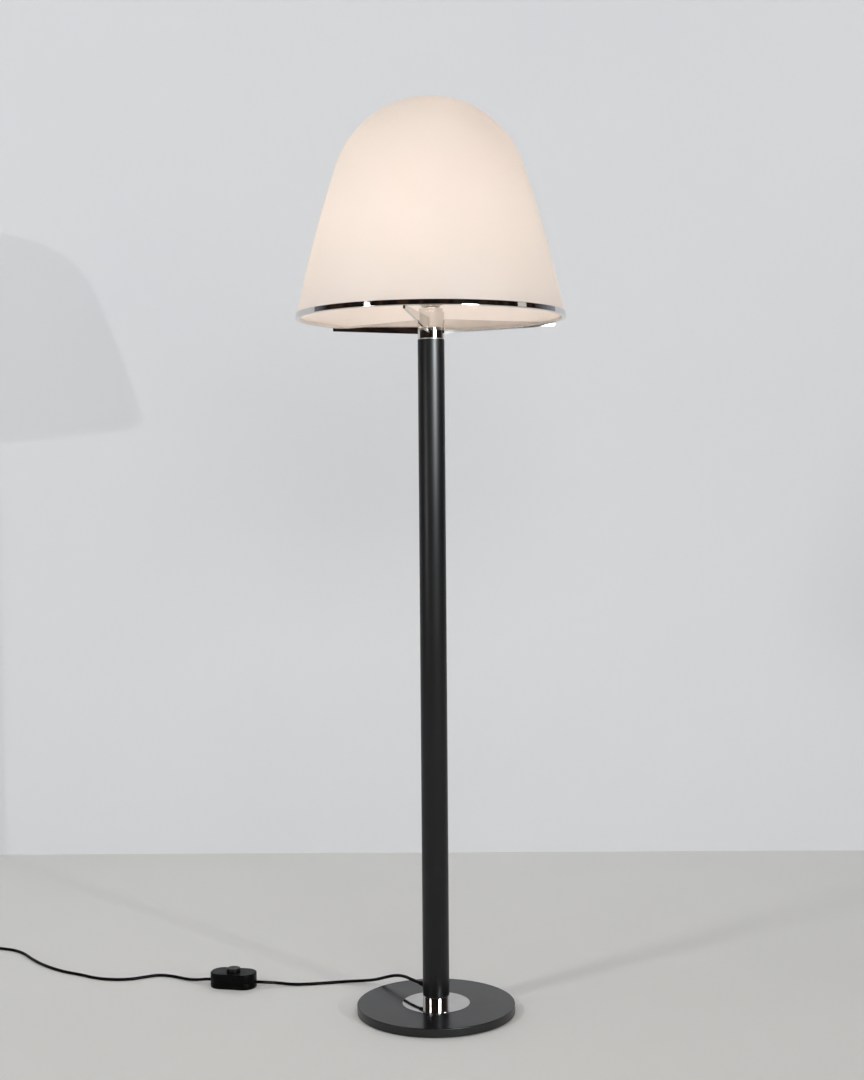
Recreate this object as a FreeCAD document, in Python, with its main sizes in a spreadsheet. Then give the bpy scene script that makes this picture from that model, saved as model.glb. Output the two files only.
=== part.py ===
"""Mushroom floor lamp: domed lift-off shade on three arms, tubular pole, round plate base, cord.

Millimetres, +Z up. The origin is on the floor, on the pole's axis. -Y is the lamp's front.
Driving sizes are in the sheet "Sizes". Every sub-part is an object whose Label is its node's name.
"""
import FreeCAD, Part
import math
import os
import re
import Sketcher

SIZES = [
    # base
    ("felt_thick", 1.5, "felt ring under the base"),
    ("felt_dia", 286, "outside of the felt ring"),
    ("felt_bore", 60, "opening in the felt ring"),
    ("base_dia", 298, "round base plate"),
    ("base_thick", 16, "base plate thickness"),
    ("base_edge", 1.5, "rounding of the plate's upper edge"),
    ("well_dia", 36, "well for the nut under the plate"),
    ("well_depth", 9, "depth of that well"),
    ("disc_dia", 127, "polished disc let into the plate"),
    ("disc_thick", 1.5, "polished disc thickness"),
    ("disc_sunk", 1, "depth of the disc's recess"),
    ("collar_dia", 50, "collar under the pole"),
    ("collar_rise", 15, "visible height of the collar"),
    ("collar_edge", 0.8, "chamfer on collar and cap edges"),
    ("spigot_wall", 5, "wall of the collar's spigot"),
    ("spigot_rise", 26, "height of the spigot inside the pole"),
    ("spigot_slot", 14, "slot in the spigot for the cord"),
    # pole
    ("pole_dia", 50, "pole outside"),
    ("pole_wall", 2, "pole wall"),
    ("pole_length", 1232, "pole from collar to hub"),
    ("rod_dia", 10, "tie rod through the pole"),
    ("rod_play", 0.3, "radial room round the tie rod"),
    ("rod_spare", 2, "thread that stands out of each nut"),
    ("nut_flats", 16, "tie rod nut across flats"),
    ("nut_height", 5, "tie rod nut height"),
    ("washer_dia", 22, "tie rod washer outside"),
    ("washer_thick", 2, "tie rod washer thickness"),
    ("seat_gap", 0.1, "radial clearance of pieces that seat in each other"),
    # hub
    ("hub_drop", 37.5, "pole top below the rim plane"),
    ("hub_rise", 13, "hub tube top above the rim plane"),
    ("hub_wall", 3, "hub tube wall"),
    ("hub_lip_dia", 48.8, "groove ring between pole and hub"),
    ("hub_lip_thick", 1.2, "height of that groove ring"),
    ("hub_spigot", 20, "core's spigot inside the pole"),
    ("core_well", 14, "depth of the nut's well in the core"),
    ("hub_turn", 19.5, "turn of the first arm from +X"),
    ("cable_hole", 7, "cable passage through the core"),
    ("cable_seat", 15.7, "cable passage from the axis"),
    ("clamp_thick", 3, "plate that clamps the arms"),
    ("screw_dia", 4, "clamp screws"),
    ("screw_reach", 9, "clamp screw below its head"),
    ("screw_head", 2.4, "clamp screw head height"),
    ("cap_dia", 44.6, "cap on the hub"),
    ("cap_rise", 7, "visible height of the cap"),
    ("cap_spigot", 3, "cap's spigot inside the hub tube"),
    # arms
    ("arm_thick", 4, "arm plate thickness"),
    ("arm_root", 26, "arm's lower edge below the rim plane at the hub"),
    ("arm_tip", 6, "arm's height at the tip"),
    ("arm_reach", 251, "arm tip from the axis"),
    ("arm_step", 1, "shoulder inside the rim ring"),
    ("arm_tongue", 14, "arm's inner end from the axis"),
    ("arm_play", 0.15, "side clearance of an arm in its slots"),
    # shade
    ("shade_rise", 407.3, "top of the shade above the rim plane"),
    ("shade_wall", 3, "shade wall"),
    ("rim_radius", 248.2, "shade outside at its rim"),
    ("crown_radius", 184, "radius of the crown"),
    ("side_radius", 2650, "radius of the side's long curve"),
    ("ring_height", 10, "rim ring height"),
    ("ring_sheet", 1.5, "rim ring sheet"),
    ("ring_inner", 6, "height of the ring's inner wall"),
    ("ring_gap", 0.4, "glue gap inside the shade's wall"),
    ("ring_room", 1.7, "glue gap outside it"),
    # lampholder
    ("nipple_dia", 10, "threaded nipple"),
    ("nipple_bore", 7, "wire passage in the nipple"),
    ("nipple_spare", 8, "nipple above the cap"),
    ("holder_dia", 38, "lampholder outside"),
    ("holder_wall", 2.2, "lampholder wall"),
    ("holder_cap_rise", 16, "lower half of the lampholder"),
    ("holder_skirt_rise", 38, "upper half of the lampholder"),
    ("locknut_flats", 14, "nut in the lampholder across flats"),
    ("locknut_height", 3, "nut in the lampholder"),
    ("insert_rise", 8, "ceramic insert height"),
    ("insert_lift", 3.5, "ceramic insert above the locknut"),
    ("thread_bore", 27.2, "screw shell inside"),
    ("thread_wall", 0.6, "screw shell wall"),
    ("thread_rise", 24, "screw shell height"),
    ("contact_rise", 4, "centre contact height"),
    # bulb
    ("bulb_cap_dia", 26, "screw cap outside"),
    ("bulb_cap_rise", 22, "screw cap height"),
    ("bulb_pitch", 3.6, "screw cap thread pitch"),
    ("bulb_dia", 60, "bulb glass outside"),
    ("bulb_length", 110, "bulb overall"),
    ("bulb_wall", 1, "bulb glass wall"),
    ("bulb_neck", 22, "bulb glass at the cap"),
    ("bulb_base", 5, "bulb's insulator below its screw cap"),
    ("bulb_turns", 4, "turns of the bulb's thread"),
    # cord
    ("cord_dia", 6, "round cord"),
    ("cable_low", 180, "foot of the inner cable's lean below the core's top"),
    ("cable_high", 80, "head of that lean below the core's top"),
    ("exit_rise", 25.5, "cord exit above the base plate"),
    ("exit_turn", 128, "direction of the cord exit from +X"),
    ("gland_reach", 50, "end of the strain relief from the axis"),
    ("gland_dia", 10, "strain relief at the pole"),
    ("gland_flange", 13, "strain relief's flanges"),
    ("gland_lip", 2.4, "thickness of those flanges"),
    ("coil_mean", 66, "coil across the middle of its turns"),
    ("coil_wide", 18, "coil's section across"),
    ("coil_high", 12, "coil's section height"),
    ("tie_wide", 8, "width of the tie round the coil"),
    ("tie_thick", 1.2, "thickness of that tie"),
    # foot switch
    ("switch_long", 92, "foot switch length"),
    ("switch_wide", 53, "foot switch width"),
    ("switch_high", 29.4, "foot switch height"),
    ("switch_split", 11, "height of the joint between its shells"),
    ("switch_round", 24, "corner radius of the shells"),
    ("switch_wall", 2.2, "wall of the shells"),
    ("switch_edge", 1.5, "rounding of the upper edge"),
    ("button_dia", 27, "push button"),
    ("button_rise", 7.3, "button above the cover"),
    ("button_play", 0.4, "radial room round the button"),
    ("button_flange", 1.5, "button's flange beyond its side, and its thickness"),
    ("button_travel", 3.5, "button travel"),
    ("boss_dia", 8, "screw bosses"),
    ("boss_spread", 29, "screw bosses from the middle"),
    ("tapping_dia", 3, "self-tapping screws"),
    ("tapping_bite", 10, "screw length inside the cover's bosses"),
    ("block_long", 26, "switch mechanism length"),
    ("block_wide", 17, "switch mechanism width"),
    ("block_high", 7, "switch mechanism height"),
    ("spring_dia", 11, "return spring, mean"),
    ("spring_wire", 0.9, "return spring wire"),
    ("spring_turns", 4, "return spring turns"),
    # plug
    ("plug_long", 38, "plug body length"),
    ("plug_wide", 26, "plug body width at the pins"),
    ("plug_high", 14, "plug body height at the pins"),
    ("pin_dia", 4, "plug pins"),
    ("pin_long", 19, "plug pins beyond the body"),
    ("pin_spread", 18.6, "plug pins, centre to centre"),
]

# Where the loose pieces lie on the floor, and how they are turned about +Z.
SWITCH_PLACE = (-403.0, 166.0, -12.0)
COIL_PLACE = (-1000.0, 409.0)
PLUG_PLACE = (-1042.5, 355.0, -104.0)

# Points of the cord from the strain relief's tip to the inside of the foot switch.
LAMP_CORD = [
    (-46.8, 59.9, 43.0),
    (-61.0, 85.0, 42.0),
    (-79.5, 106.0, 37.5),
    (-99.0, 121.0, 29.0),
    (-120.0, 142.0, 17.5),
    (-146.0, 167.0, 8.0),
    (-178.0, 178.5, 3.4),
    (-214.0, 172.5, 3.0),
    (-252.0, 164.5, 3.0),
    (-287.0, 161.5, 3.4),
    (-318.0, 165.5, 6.0),
    (-337.0, 156.5, 9.6),
    (-350.6, 154.9, 11.0),
    (-362.4, 157.4, 11.0),
]
# Points of the cord from the inside of the foot switch to the coil.
MAINS_CORD = [
    (-442.6, 174.4, 11.0),
    (-456.4, 177.4, 11.0),
    (-477.0, 185.0, 7.0),
    (-500.0, 198.0, 4.0),
    (-530.0, 222.0, 3.0),
    (-563.0, 233.0, 3.0),
    (-590.0, 219.0, 3.0),
    (-617.0, 204.5, 3.0),
    (-652.0, 203.0, 3.0),
    (-688.0, 213.5, 3.0),
    (-722.0, 237.5, 3.0),
    (-756.0, 255.0, 3.0),
    (-787.0, 278.5, 3.0),
    (-820.0, 310.5, 3.0),
    (-851.0, 350.0, 3.0),
    (-877.0, 390.5, 3.0),
    (-904.0, 416.0, 3.0),
    (-935.0, 428.5, 3.0),
    (-968.0, 438.5, 3.0),
    (-1000.0, 442.0, 3.0),
]
# Points of the cord from the coil to the back of the plug.
PLUG_CORD = [
    (-1033.0, 409.0, 9.0),
    (-1035.0, 389.4, 8.6),
    (-1039.0, 369.0, 7.0),
    (-1042.5, 355.0, 7.0),
]

NAMES = [alias for alias, size, note in SIZES]

doc = FreeCAD.newDocument("floor_lamp")
sheet = doc.addObject("Spreadsheet::Sheet", "Sizes")
for row, (alias, size, note) in enumerate(SIZES, start=1):
    sheet.set(f"A{row}", alias)
    sheet.set(f"B{row}", str(size))
    sheet.set(f"C{row}", note)
    sheet.setAlias(f"B{row}", alias)
doc.recompute()


def formula(text):
    """Turns the names of sizes in a text into references to the sheet."""
    return re.sub(r"[a-z_]+", lambda m: "Sizes." + m.group() if m.group() in NAMES else m.group(), text)


def number(text):
    """Gives what a formula is worth now."""
    return float(sheet.evalExpression(formula(text)))


# Heights above the floor that several pieces share.
PLATE_TOP = "(felt_thick + base_thick)"
DISC_TOP = f"({PLATE_TOP} - disc_sunk + disc_thick)"
POLE_FOOT = f"({DISC_TOP} + collar_rise)"
POLE_TOP = f"({POLE_FOOT} + pole_length)"
RIM = f"({POLE_TOP} + hub_drop)"
CORE_TOP = f"({RIM} + arm_step)"
HUB_TOP = f"({RIM} + hub_rise)"
CAP_TOP = f"({HUB_TOP} + cap_rise)"
NIPPLE_TOP = f"({CAP_TOP} + nipple_spare)"
INSERT_BASE = f"({CAP_TOP} + holder_wall + locknut_height + insert_lift)"
INSERT_TOP = f"({INSERT_BASE} + insert_rise)"
BULB_BASE = f"({INSERT_TOP} + contact_rise)"
EXIT_HEIGHT = f"({PLATE_TOP} + exit_rise)"
POLE_BORE = "(pole_dia / 2 - pole_wall)"
HUB_BORE = "(pole_dia / 2 - hub_wall)"
ROD_HOLE = "(rod_dia / 2 + rod_play)"


def origin_feature(body, role):
    """Finds one of a body's own origin planes or axes."""
    return next(item for item in body.Origin.OriginFeatures if item.Role == role)


def new_body(label, height="0", turn="0"):
    """Makes a body whose own zero is at a height above the floor, turned about +Z."""
    body = doc.addObject("PartDesign::Body", label)
    body.Label = label
    body.Placement = FreeCAD.Placement(
        FreeCAD.Vector(0, 0, number(height)),
        FreeCAD.Rotation(FreeCAD.Vector(0, 0, 1), number(turn)),
    )
    if height != "0":
        body.setExpression("Placement.Base.z", formula(height))
    if turn != "0":
        body.setExpression("Placement.Rotation.Angle", formula(turn))
    return body


def new_sketch(body, plane, offset="0"):
    """Adds an empty sketch on an origin plane of a body."""
    sketch = body.newObject("Sketcher::SketchObject", body.Label + "_sketch")
    sketch.AttachmentSupport = [(origin_feature(body, plane), "")]
    sketch.MapMode = "FlatFace"
    if offset != "0":
        sketch.AttachmentOffset.Base.z = number(offset)
        sketch.setExpression("AttachmentOffset.Base.z", formula(offset))
    return sketch


def hold(sketch, kind, geometry, point, text):
    """Sets a point's distance from the sketch's origin along X or Y, bound to a formula."""
    if abs(number(text)) < 1e-9:
        axis = -2 if kind == "DistanceX" else -1
        sketch.addConstraint(Sketcher.Constraint("PointOnObject", geometry, point, axis))
        return
    sketch.addConstraint(Sketcher.Constraint(kind, -1, 1, geometry, point, number(text)))
    sketch.setExpression(f"Constraints[{sketch.ConstraintCount - 1}]", formula(text))


def polygon(sketch, points):
    """Closes straight lines through points given as pairs of formulas."""
    first = sketch.GeometryCount
    spots = [FreeCAD.Vector(number(x), number(y), 0) for x, y in points]
    count = len(points)
    for k in range(count):
        sketch.addGeometry(Part.LineSegment(spots[k], spots[(k + 1) % count]))
    for k in range(count):
        after = first + (k + 1) % count
        sketch.addConstraint(Sketcher.Constraint("Coincident", first + k, 2, after, 1))
    for k, (x, y) in enumerate(points):
        hold(sketch, "DistanceX", first + k, 1, x)
        hold(sketch, "DistanceY", first + k, 1, y)


def circle(sketch, x, y, radius):
    """Adds a circle placed and sized by formulas."""
    spot = FreeCAD.Vector(number(x), number(y), 0)
    index = sketch.addGeometry(Part.Circle(spot, FreeCAD.Vector(0, 0, 1), number(radius)))
    hold(sketch, "DistanceX", index, 3, x)
    hold(sketch, "DistanceY", index, 3, y)
    sketch.addConstraint(Sketcher.Constraint("Radius", index, number(radius)))
    sketch.setExpression(f"Constraints[{sketch.ConstraintCount - 1}]", formula(radius))


def block_outline(sketch, x_low, y_low, x_high, y_high):
    """Adds a rectangle given by formulas."""
    polygon(sketch, [(x_low, y_low), (x_high, y_low), (x_high, y_high), (x_low, y_high)])


def rounded_outline(sketch, length, width, radius):
    """Adds a centred rectangle with round corners, given by formulas."""
    long_half = number(length) / 2
    wide_half = number(width) / 2
    corner = number(radius)
    first = sketch.GeometryCount
    inner_x = long_half - corner
    inner_y = wide_half - corner
    normal = FreeCAD.Vector(0, 0, 1)
    corners = [(inner_x, inner_y, 0), (-inner_x, inner_y, 90), (-inner_x, -inner_y, 180), (inner_x, -inner_y, 270)]
    for x, y, start in corners:
        ring = Part.Circle(FreeCAD.Vector(x, y, 0), normal, corner)
        arc = Part.ArcOfCircle(ring, math.radians(start), math.radians(start + 90))
        sketch.addGeometry(arc)
    sides = [
        ((inner_x, wide_half), (-inner_x, wide_half)),
        ((-long_half, inner_y), (-long_half, -inner_y)),
        ((-inner_x, -wide_half), (inner_x, -wide_half)),
        ((long_half, -inner_y), (long_half, inner_y)),
    ]
    for start, end in sides:
        sketch.addGeometry(Part.LineSegment(FreeCAD.Vector(*start, 0), FreeCAD.Vector(*end, 0)))
    for k in range(4):
        arc = first + k
        side = first + 4 + k
        after = first + (k + 1) % 4
        sketch.addConstraint(Sketcher.Constraint("Tangent", arc, 2, side, 1))
        sketch.addConstraint(Sketcher.Constraint("Tangent", side, 2, after, 1))
        if k:
            sketch.addConstraint(Sketcher.Constraint("Equal", first, arc))
    sketch.addConstraint(Sketcher.Constraint("Radius", first, corner))
    sketch.setExpression(f"Constraints[{sketch.ConstraintCount - 1}]", formula(radius))
    sketch.addConstraint(Sketcher.Constraint("Horizontal", first + 4))
    sketch.addConstraint(Sketcher.Constraint("Vertical", first + 5))
    sketch.addConstraint(Sketcher.Constraint("Symmetric", first, 3, first + 2, 3, -1, 1))
    hold(sketch, "DistanceX", first + 7, 1, f"({length}) / 2")
    hold(sketch, "DistanceY", first + 4, 1, f"({width}) / 2")


def turned(label, outline, height="0", turn="0"):
    """Makes a body by turning an outline of (radius, height) formulas about its axis."""
    body = new_body(label, height, turn)
    sketch = new_sketch(body, "XZ_Plane")
    polygon(sketch, outline)
    revolve(body, sketch)
    return body


def revolve(body, sketch):
    """Turns a sketch's outline about its upright axis."""
    feature = body.newObject("PartDesign::Revolution", body.Label + "_turned")
    feature.Profile = sketch
    feature.ReferenceAxis = (sketch, ["V_Axis"])
    feature.Angle = 360
    sketch.Visibility = False
    doc.recompute()
    return feature


def pad(body, sketch, length, reverse=False, midplane=False):
    """Raises a sketch's outline by a formula."""
    feature = body.newObject("PartDesign::Pad", body.Label + "_pad")
    feature.Profile = sketch
    feature.SideType = "Symmetric" if midplane else "One side"
    feature.Reversed = reverse
    feature.Length = number(length)
    feature.setExpression("Length", formula(length))
    doc.recompute()
    return feature


def pocket(body, sketch, length, reverse=False, midplane=False):
    """Cuts a sketch's outline to a depth, and checks that it cuts something."""
    before = body.Shape.Volume
    feature = body.newObject("PartDesign::Pocket", body.Label + "_cut")
    feature.Profile = sketch
    feature.SideType = "Symmetric" if midplane else "One side"
    feature.Reversed = reverse
    feature.Length = number(length)
    feature.setExpression("Length", formula(length))
    doc.recompute()
    if body.Shape.Volume >= before - 1e-6:
        raise RuntimeError(f"{body.Label}: {sketch.Name} cuts nothing")
    return feature


def around(body, feature, count=3):
    """Repeats a feature round the body's upright axis."""
    pattern = body.newObject("PartDesign::PolarPattern", body.Label + "_round")
    pattern.Originals = [feature]
    pattern.Axis = (origin_feature(body, "Z_Axis"), [""])
    pattern.Angle = 360
    pattern.Occurrences = count
    body.Tip = pattern
    doc.recompute()
    return pattern


def round_edges(body, radius, wanted):
    """Rounds the edges that a test picks from the body's tip."""
    tip = body.Tip
    edges = [f"Edge{k}" for k, edge in enumerate(tip.Shape.Edges, start=1) if wanted(edge)]
    feature = body.newObject("PartDesign::Fillet", body.Label + "_rounded")
    feature.Base = (tip, edges)
    feature.Radius = number(radius)
    feature.setExpression("Radius", formula(radius))
    doc.recompute()
    return feature


def edge_at_height(height):
    """Gives a test for edges that lie flat at a height of the body's own frame."""
    level = number(height)

    def test(edge):
        box = edge.BoundBox
        return abs(box.ZMin - level) < 1e-4 and abs(box.ZMax - level) < 1e-4

    return test


def hex_nut(label, flats, height, bore, base):
    """Makes a hexagon nut with its lower face at a height."""
    prism = doc.addObject("Part::Prism", label + "_hexagon")
    prism.Polygon = 6
    prism.setExpression("Circumradius", formula(f"({flats}) / 2 / cos(30)"))
    prism.setExpression("Height", formula(height))
    hole = doc.addObject("Part::Cylinder", label + "_hole")
    hole.setExpression("Radius", formula(bore))
    hole.setExpression("Height", formula(height))
    nut = doc.addObject("Part::Cut", label)
    nut.Label = label
    nut.Base = prism
    nut.Tool = hole
    nut.setExpression("Placement.Base.z", formula(base))
    return nut


def ring_outline(inner, outer, low, high):
    """Gives the outline of a plain ring."""
    return [(inner, low), (outer, low), (outer, high), (inner, high)]


# ---- base ----------------------------------------------------------------------------------------


def make_base():
    turned("base_felt", ring_outline("felt_bore / 2", "felt_dia / 2", "0", "felt_thick"))
    disc_room = "(disc_dia / 2 + seat_gap)"
    plate = turned(
        "base_plate",
        [
            ("well_dia / 2", "0"),
            ("base_dia / 2", "0"),
            ("base_dia / 2", "base_thick"),
            (disc_room, "base_thick"),
            (disc_room, "base_thick - disc_sunk"),
            (ROD_HOLE, "base_thick - disc_sunk"),
            (ROD_HOLE, "well_depth"),
            ("well_dia / 2", "well_depth"),
        ],
        "felt_thick",
    )
    rim = edge_at_height("base_thick")
    wide = number("disc_dia")
    round_edges(plate, "base_edge", lambda edge: rim(edge) and edge.BoundBox.XLength > 1.5 * wide)
    turned(
        "base_disc",
        ring_outline(ROD_HOLE, "disc_dia / 2", "0", "disc_thick"),
        f"{PLATE_TOP} - disc_sunk",
    )
    outside = f"({POLE_BORE} - seat_gap)"
    inside = f"({outside} - spigot_wall)"
    top = "(collar_rise + spigot_rise)"
    collar = turned(
        "base_collar",
        [
            (ROD_HOLE, "0"),
            ("collar_dia / 2 - collar_edge / 2", "0"),
            ("collar_dia / 2", "collar_edge / 2"),
            ("collar_dia / 2", "collar_rise - collar_edge"),
            ("collar_dia / 2 - collar_edge", "collar_rise"),
            (outside, "collar_rise"),
            (outside, top),
            (inside, top),
            (inside, "collar_rise - collar_edge"),
            (ROD_HOLE, "collar_rise - collar_edge"),
        ],
        DISC_TOP,
        "exit_turn",
    )
    slot = new_sketch(collar, "XY_Plane", top)
    block_outline(slot, "spigot_slot", "-spigot_slot / 2", "collar_dia", "spigot_slot / 2")
    pocket(collar, slot, "spigot_rise")


def make_tie_rod():
    well_top = "(felt_thick + well_depth)"
    washer_base = f"{well_top} - washer_thick"
    washer = ring_outline(ROD_HOLE, "washer_dia / 2", "0", "washer_thick")
    turned("base_washer", washer, washer_base)
    hex_nut("base_nut", "nut_flats", "nut_height", "rod_dia / 2", f"{washer_base} - nut_height")
    core_floor = f"({CORE_TOP} - core_well)"
    turned("hub_washer", washer, core_floor)
    hub_nut_base = f"{core_floor} + washer_thick"
    hex_nut("hub_nut", "nut_flats", "nut_height", "rod_dia / 2", hub_nut_base)
    rod_low = f"({washer_base} - nut_height)"
    rod_high = f"({hub_nut_base} + nut_height + rod_spare)"
    rod = doc.addObject("Part::Cylinder", "tie_rod")
    rod.Label = "tie_rod"
    rod.setExpression("Radius", formula("rod_dia / 2"))
    rod.setExpression("Height", formula(f"{rod_high} - {rod_low}"))
    rod.setExpression("Placement.Base.z", formula(rod_low))


# ---- pole ----------------------------------------------------------------------------------------


def make_pole():
    outline = ring_outline(POLE_BORE, "pole_dia / 2", "0", "pole_length")
    pole = turned("pole_tube", outline, POLE_FOOT, "exit_turn")
    hole = new_sketch(pole, "YZ_Plane")
    circle(hole, "0", f"{EXIT_HEIGHT} - {POLE_FOOT}", "gland_dia / 2 + seat_gap")
    pocket(pole, hole, "pole_dia", reverse=True)


def make_gland():
    """Strain relief: its own axis lies along the cord's exit, away from the pole's axis."""
    gland = new_body("cord_gland")
    sketch = new_sketch(gland, "XZ_Plane")
    flange = "gland_flange / 2"
    neck = "gland_dia / 2"
    inner_face = f"({POLE_BORE} - gland_flange * gland_flange / 8 / {POLE_BORE} - seat_gap)"
    outer_face = "(pole_dia / 2 + seat_gap)"
    polygon(
        sketch,
        [
            ("0", f"{inner_face} - gland_lip"),
            (flange, f"{inner_face} - gland_lip"),
            (flange, inner_face),
            (neck, inner_face),
            (neck, outer_face),
            (flange, outer_face),
            (flange, f"{outer_face} + gland_lip / 2"),
            (neck, f"{outer_face} + gland_lip"),
            ("cord_dia / 2 + 1", "gland_reach"),
            ("0", "gland_reach"),
        ],
    )
    revolve(gland, sketch)
    gland.Placement = FreeCAD.Placement(
        FreeCAD.Vector(0, 0, number(EXIT_HEIGHT)),
        FreeCAD.Rotation(number("exit_turn"), 90, 0),
    )
    gland.setExpression("Placement.Base.z", formula(EXIT_HEIGHT))


# ---- hub and arms --------------------------------------------------------------------------------


def make_hub():
    tube_base = f"({POLE_TOP} + hub_lip_thick)"
    tube_high = f"({HUB_TOP} - {tube_base})"
    edge = "collar_edge / 2"
    tube = turned(
        "hub_tube",
        [
            (HUB_BORE, "0"),
            (f"pole_dia / 2 - {edge}", "0"),
            ("pole_dia / 2", edge),
            ("pole_dia / 2", f"{tube_high} - {edge}"),
            (f"pole_dia / 2 - {edge}", tube_high),
            (HUB_BORE, tube_high),
        ],
        tube_base,
        "hub_turn",
    )
    window = new_sketch(tube, "YZ_Plane")
    half = "(arm_thick / 2 + arm_play)"
    low = f"{RIM} - arm_root - arm_play - {tube_base}"
    high = f"{CORE_TOP} + arm_play - {tube_base}"
    block_outline(window, f"-{half}", low, half, high)
    around(tube, pocket(tube, window, "pole_dia", reverse=True))

    core_base = f"({POLE_TOP} - hub_spigot)"
    core_high = f"({CORE_TOP} - {core_base})"
    lip_top = "(hub_spigot + hub_lip_thick)"
    well = "(washer_dia / 2 + rod_play)"
    core = turned(
        "hub_core",
        [
            (ROD_HOLE, "0"),
            (f"{POLE_BORE} - seat_gap", "0"),
            (f"{POLE_BORE} - seat_gap", "hub_spigot"),
            ("hub_lip_dia / 2", "hub_spigot"),
            ("hub_lip_dia / 2", lip_top),
            (f"{HUB_BORE} - seat_gap", lip_top),
            (f"{HUB_BORE} - seat_gap", core_high),
            (well, core_high),
            (well, f"{core_high} - core_well"),
            (ROD_HOLE, f"{core_high} - core_well"),
        ],
        core_base,
        "hub_turn",
    )
    slot = new_sketch(core, "XY_Plane", core_high)
    block_outline(slot, "arm_tongue - arm_play", f"-{half}", "pole_dia", half)
    around(core, pocket(core, slot, "arm_step + arm_root + arm_play"))
    passage = new_sketch(core, "XY_Plane", core_high)
    circle(passage, "0", "cable_seat", "cable_hole / 2")
    pocket(core, passage, core_high)
    screw_hole = new_sketch(core, "XY_Plane", core_high)
    circle(screw_hole, "cable_seat * cos(45)", "cable_seat * sin(45)", "screw_dia / 2 + seat_gap")
    around(core, pocket(core, screw_hole, "screw_reach"))

    clamp = turned(
        "arm_clamp_plate",
        ring_outline(well, f"{HUB_BORE} - seat_gap", "0", "clamp_thick"),
        CORE_TOP,
        "hub_turn",
    )
    passage = new_sketch(clamp, "XY_Plane", "clamp_thick")
    circle(passage, "0", "cable_seat", "cable_hole / 2")
    pocket(clamp, passage, "clamp_thick")
    screw_hole = new_sketch(clamp, "XY_Plane", "clamp_thick")
    circle(screw_hole, "cable_seat * cos(45)", "cable_seat * sin(45)", "screw_dia / 2 + seat_gap")
    around(clamp, pocket(clamp, screw_hole, "clamp_thick"))

    screws = new_body("clamp_screws", f"{CORE_TOP} + clamp_thick", "hub_turn")
    shank = new_sketch(screws, "XY_Plane")
    circle(shank, "cable_seat * cos(45)", "cable_seat * sin(45)", "screw_dia / 2")
    around(screws, pad(screws, shank, "screw_reach", reverse=True))
    head = new_sketch(screws, "XY_Plane")
    circle(head, "cable_seat * cos(45)", "cable_seat * sin(45)", "screw_dia * 0.9")
    around(screws, pad(screws, head, "screw_head"))

    turned(
        "hub_cap",
        [
            ("nipple_dia / 2 + seat_gap", "0"),
            (f"{HUB_BORE} - hub_wall", "0"),
            (f"{HUB_BORE} - hub_wall", "-cap_spigot"),
            (f"{HUB_BORE} - seat_gap", "-cap_spigot"),
            (f"{HUB_BORE} - seat_gap", "0"),
            ("cap_dia / 2 - seat_gap", "0"),
            ("cap_dia / 2", "collar_edge"),
            ("cap_dia / 2", "cap_rise - collar_edge"),
            ("cap_dia / 2 - collar_edge", "cap_rise"),
            ("nipple_dia / 2 + seat_gap", "cap_rise"),
        ],
        HUB_TOP,
    )


def make_arms():
    """Three arm plates stand upright, 120 degrees apart, and taper towards their tips."""
    for label, step in (("arm_right", "0"), ("arm_left", "120"), ("arm_front", "240")):
        arm = new_body(label, RIM, f"hub_turn + {step}")
        side = new_sketch(arm, "XZ_Plane")
        polygon(
            side,
            [
                ("arm_tongue", "-arm_root"),
                ("pole_dia / 2", "-arm_root"),
                ("arm_reach", "-arm_tip"),
                ("arm_reach", "0"),
                (RING_CLEAR, "0"),
                (RING_CLEAR, "arm_step"),
                ("arm_tongue", "arm_step"),
            ],
        )
        pad(arm, side, "arm_thick", midplane=True)


# The arms' shoulders stand just inside the rim ring's inner wall.
RING_INSIDE = "(rim_radius - shade_wall / cos(11) - ring_gap - ring_sheet)"
RING_CLEAR = f"({RING_INSIDE} - 2)"


# ---- lampholder ----------------------------------------------------------------------------------


def make_lampholder():
    turned(
        "holder_nipple",
        ring_outline("nipple_bore / 2", "nipple_dia / 2", "0", "cap_rise + nipple_spare"),
        HUB_TOP,
    )
    outside = "holder_dia / 2"
    inside = "(holder_dia / 2 - holder_wall)"
    turned(
        "holder_cap",
        [
            ("nipple_dia / 2 + seat_gap", "0"),
            (f"{outside} - 5", "0"),
            (outside, "5"),
            (outside, "holder_cap_rise"),
            (inside, "holder_cap_rise"),
            (inside, "holder_wall + 4"),
            (f"{inside} - 4", "holder_wall"),
            ("nipple_dia / 2 + seat_gap", "holder_wall"),
        ],
        CAP_TOP,
    )
    hex_nut(
        "holder_locknut",
        "locknut_flats",
        "locknut_height",
        "nipple_dia / 2",
        f"{CAP_TOP} + holder_wall",
    )
    turned(
        "holder_insert",
        ring_outline("nipple_bore / 2", f"{inside} - seat_gap", "0", "insert_rise"),
        INSERT_BASE,
    )
    turned(
        "holder_contact",
        [
            ("0", "0"),
            ("5.5", "0"),
            ("5.5", "1"),
            ("3.5", "contact_rise - 1"),
            ("2.5", "contact_rise"),
            ("0", "contact_rise"),
        ],
        INSERT_TOP,
    )
    bore = "(thread_bore / 2)"
    turned(
        "holder_thread",
        ring_outline(bore, f"{bore} + thread_wall", "0", "thread_rise"),
        INSERT_TOP,
    )
    turned(
        "holder_skirt",
        [
            (inside, "0"),
            (outside, "0"),
            (outside, "holder_skirt_rise - 1"),
            (f"{outside} - 1", "holder_skirt_rise"),
            (f"{bore} + thread_wall + 1", "holder_skirt_rise"),
            (f"{bore} + thread_wall + 1", "holder_skirt_rise - holder_wall"),
            (inside, "holder_skirt_rise - holder_wall"),
        ],
        f"{CAP_TOP} + holder_cap_rise",
    )


# ---- bulb ----------------------------------------------------------------------------------------


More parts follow.
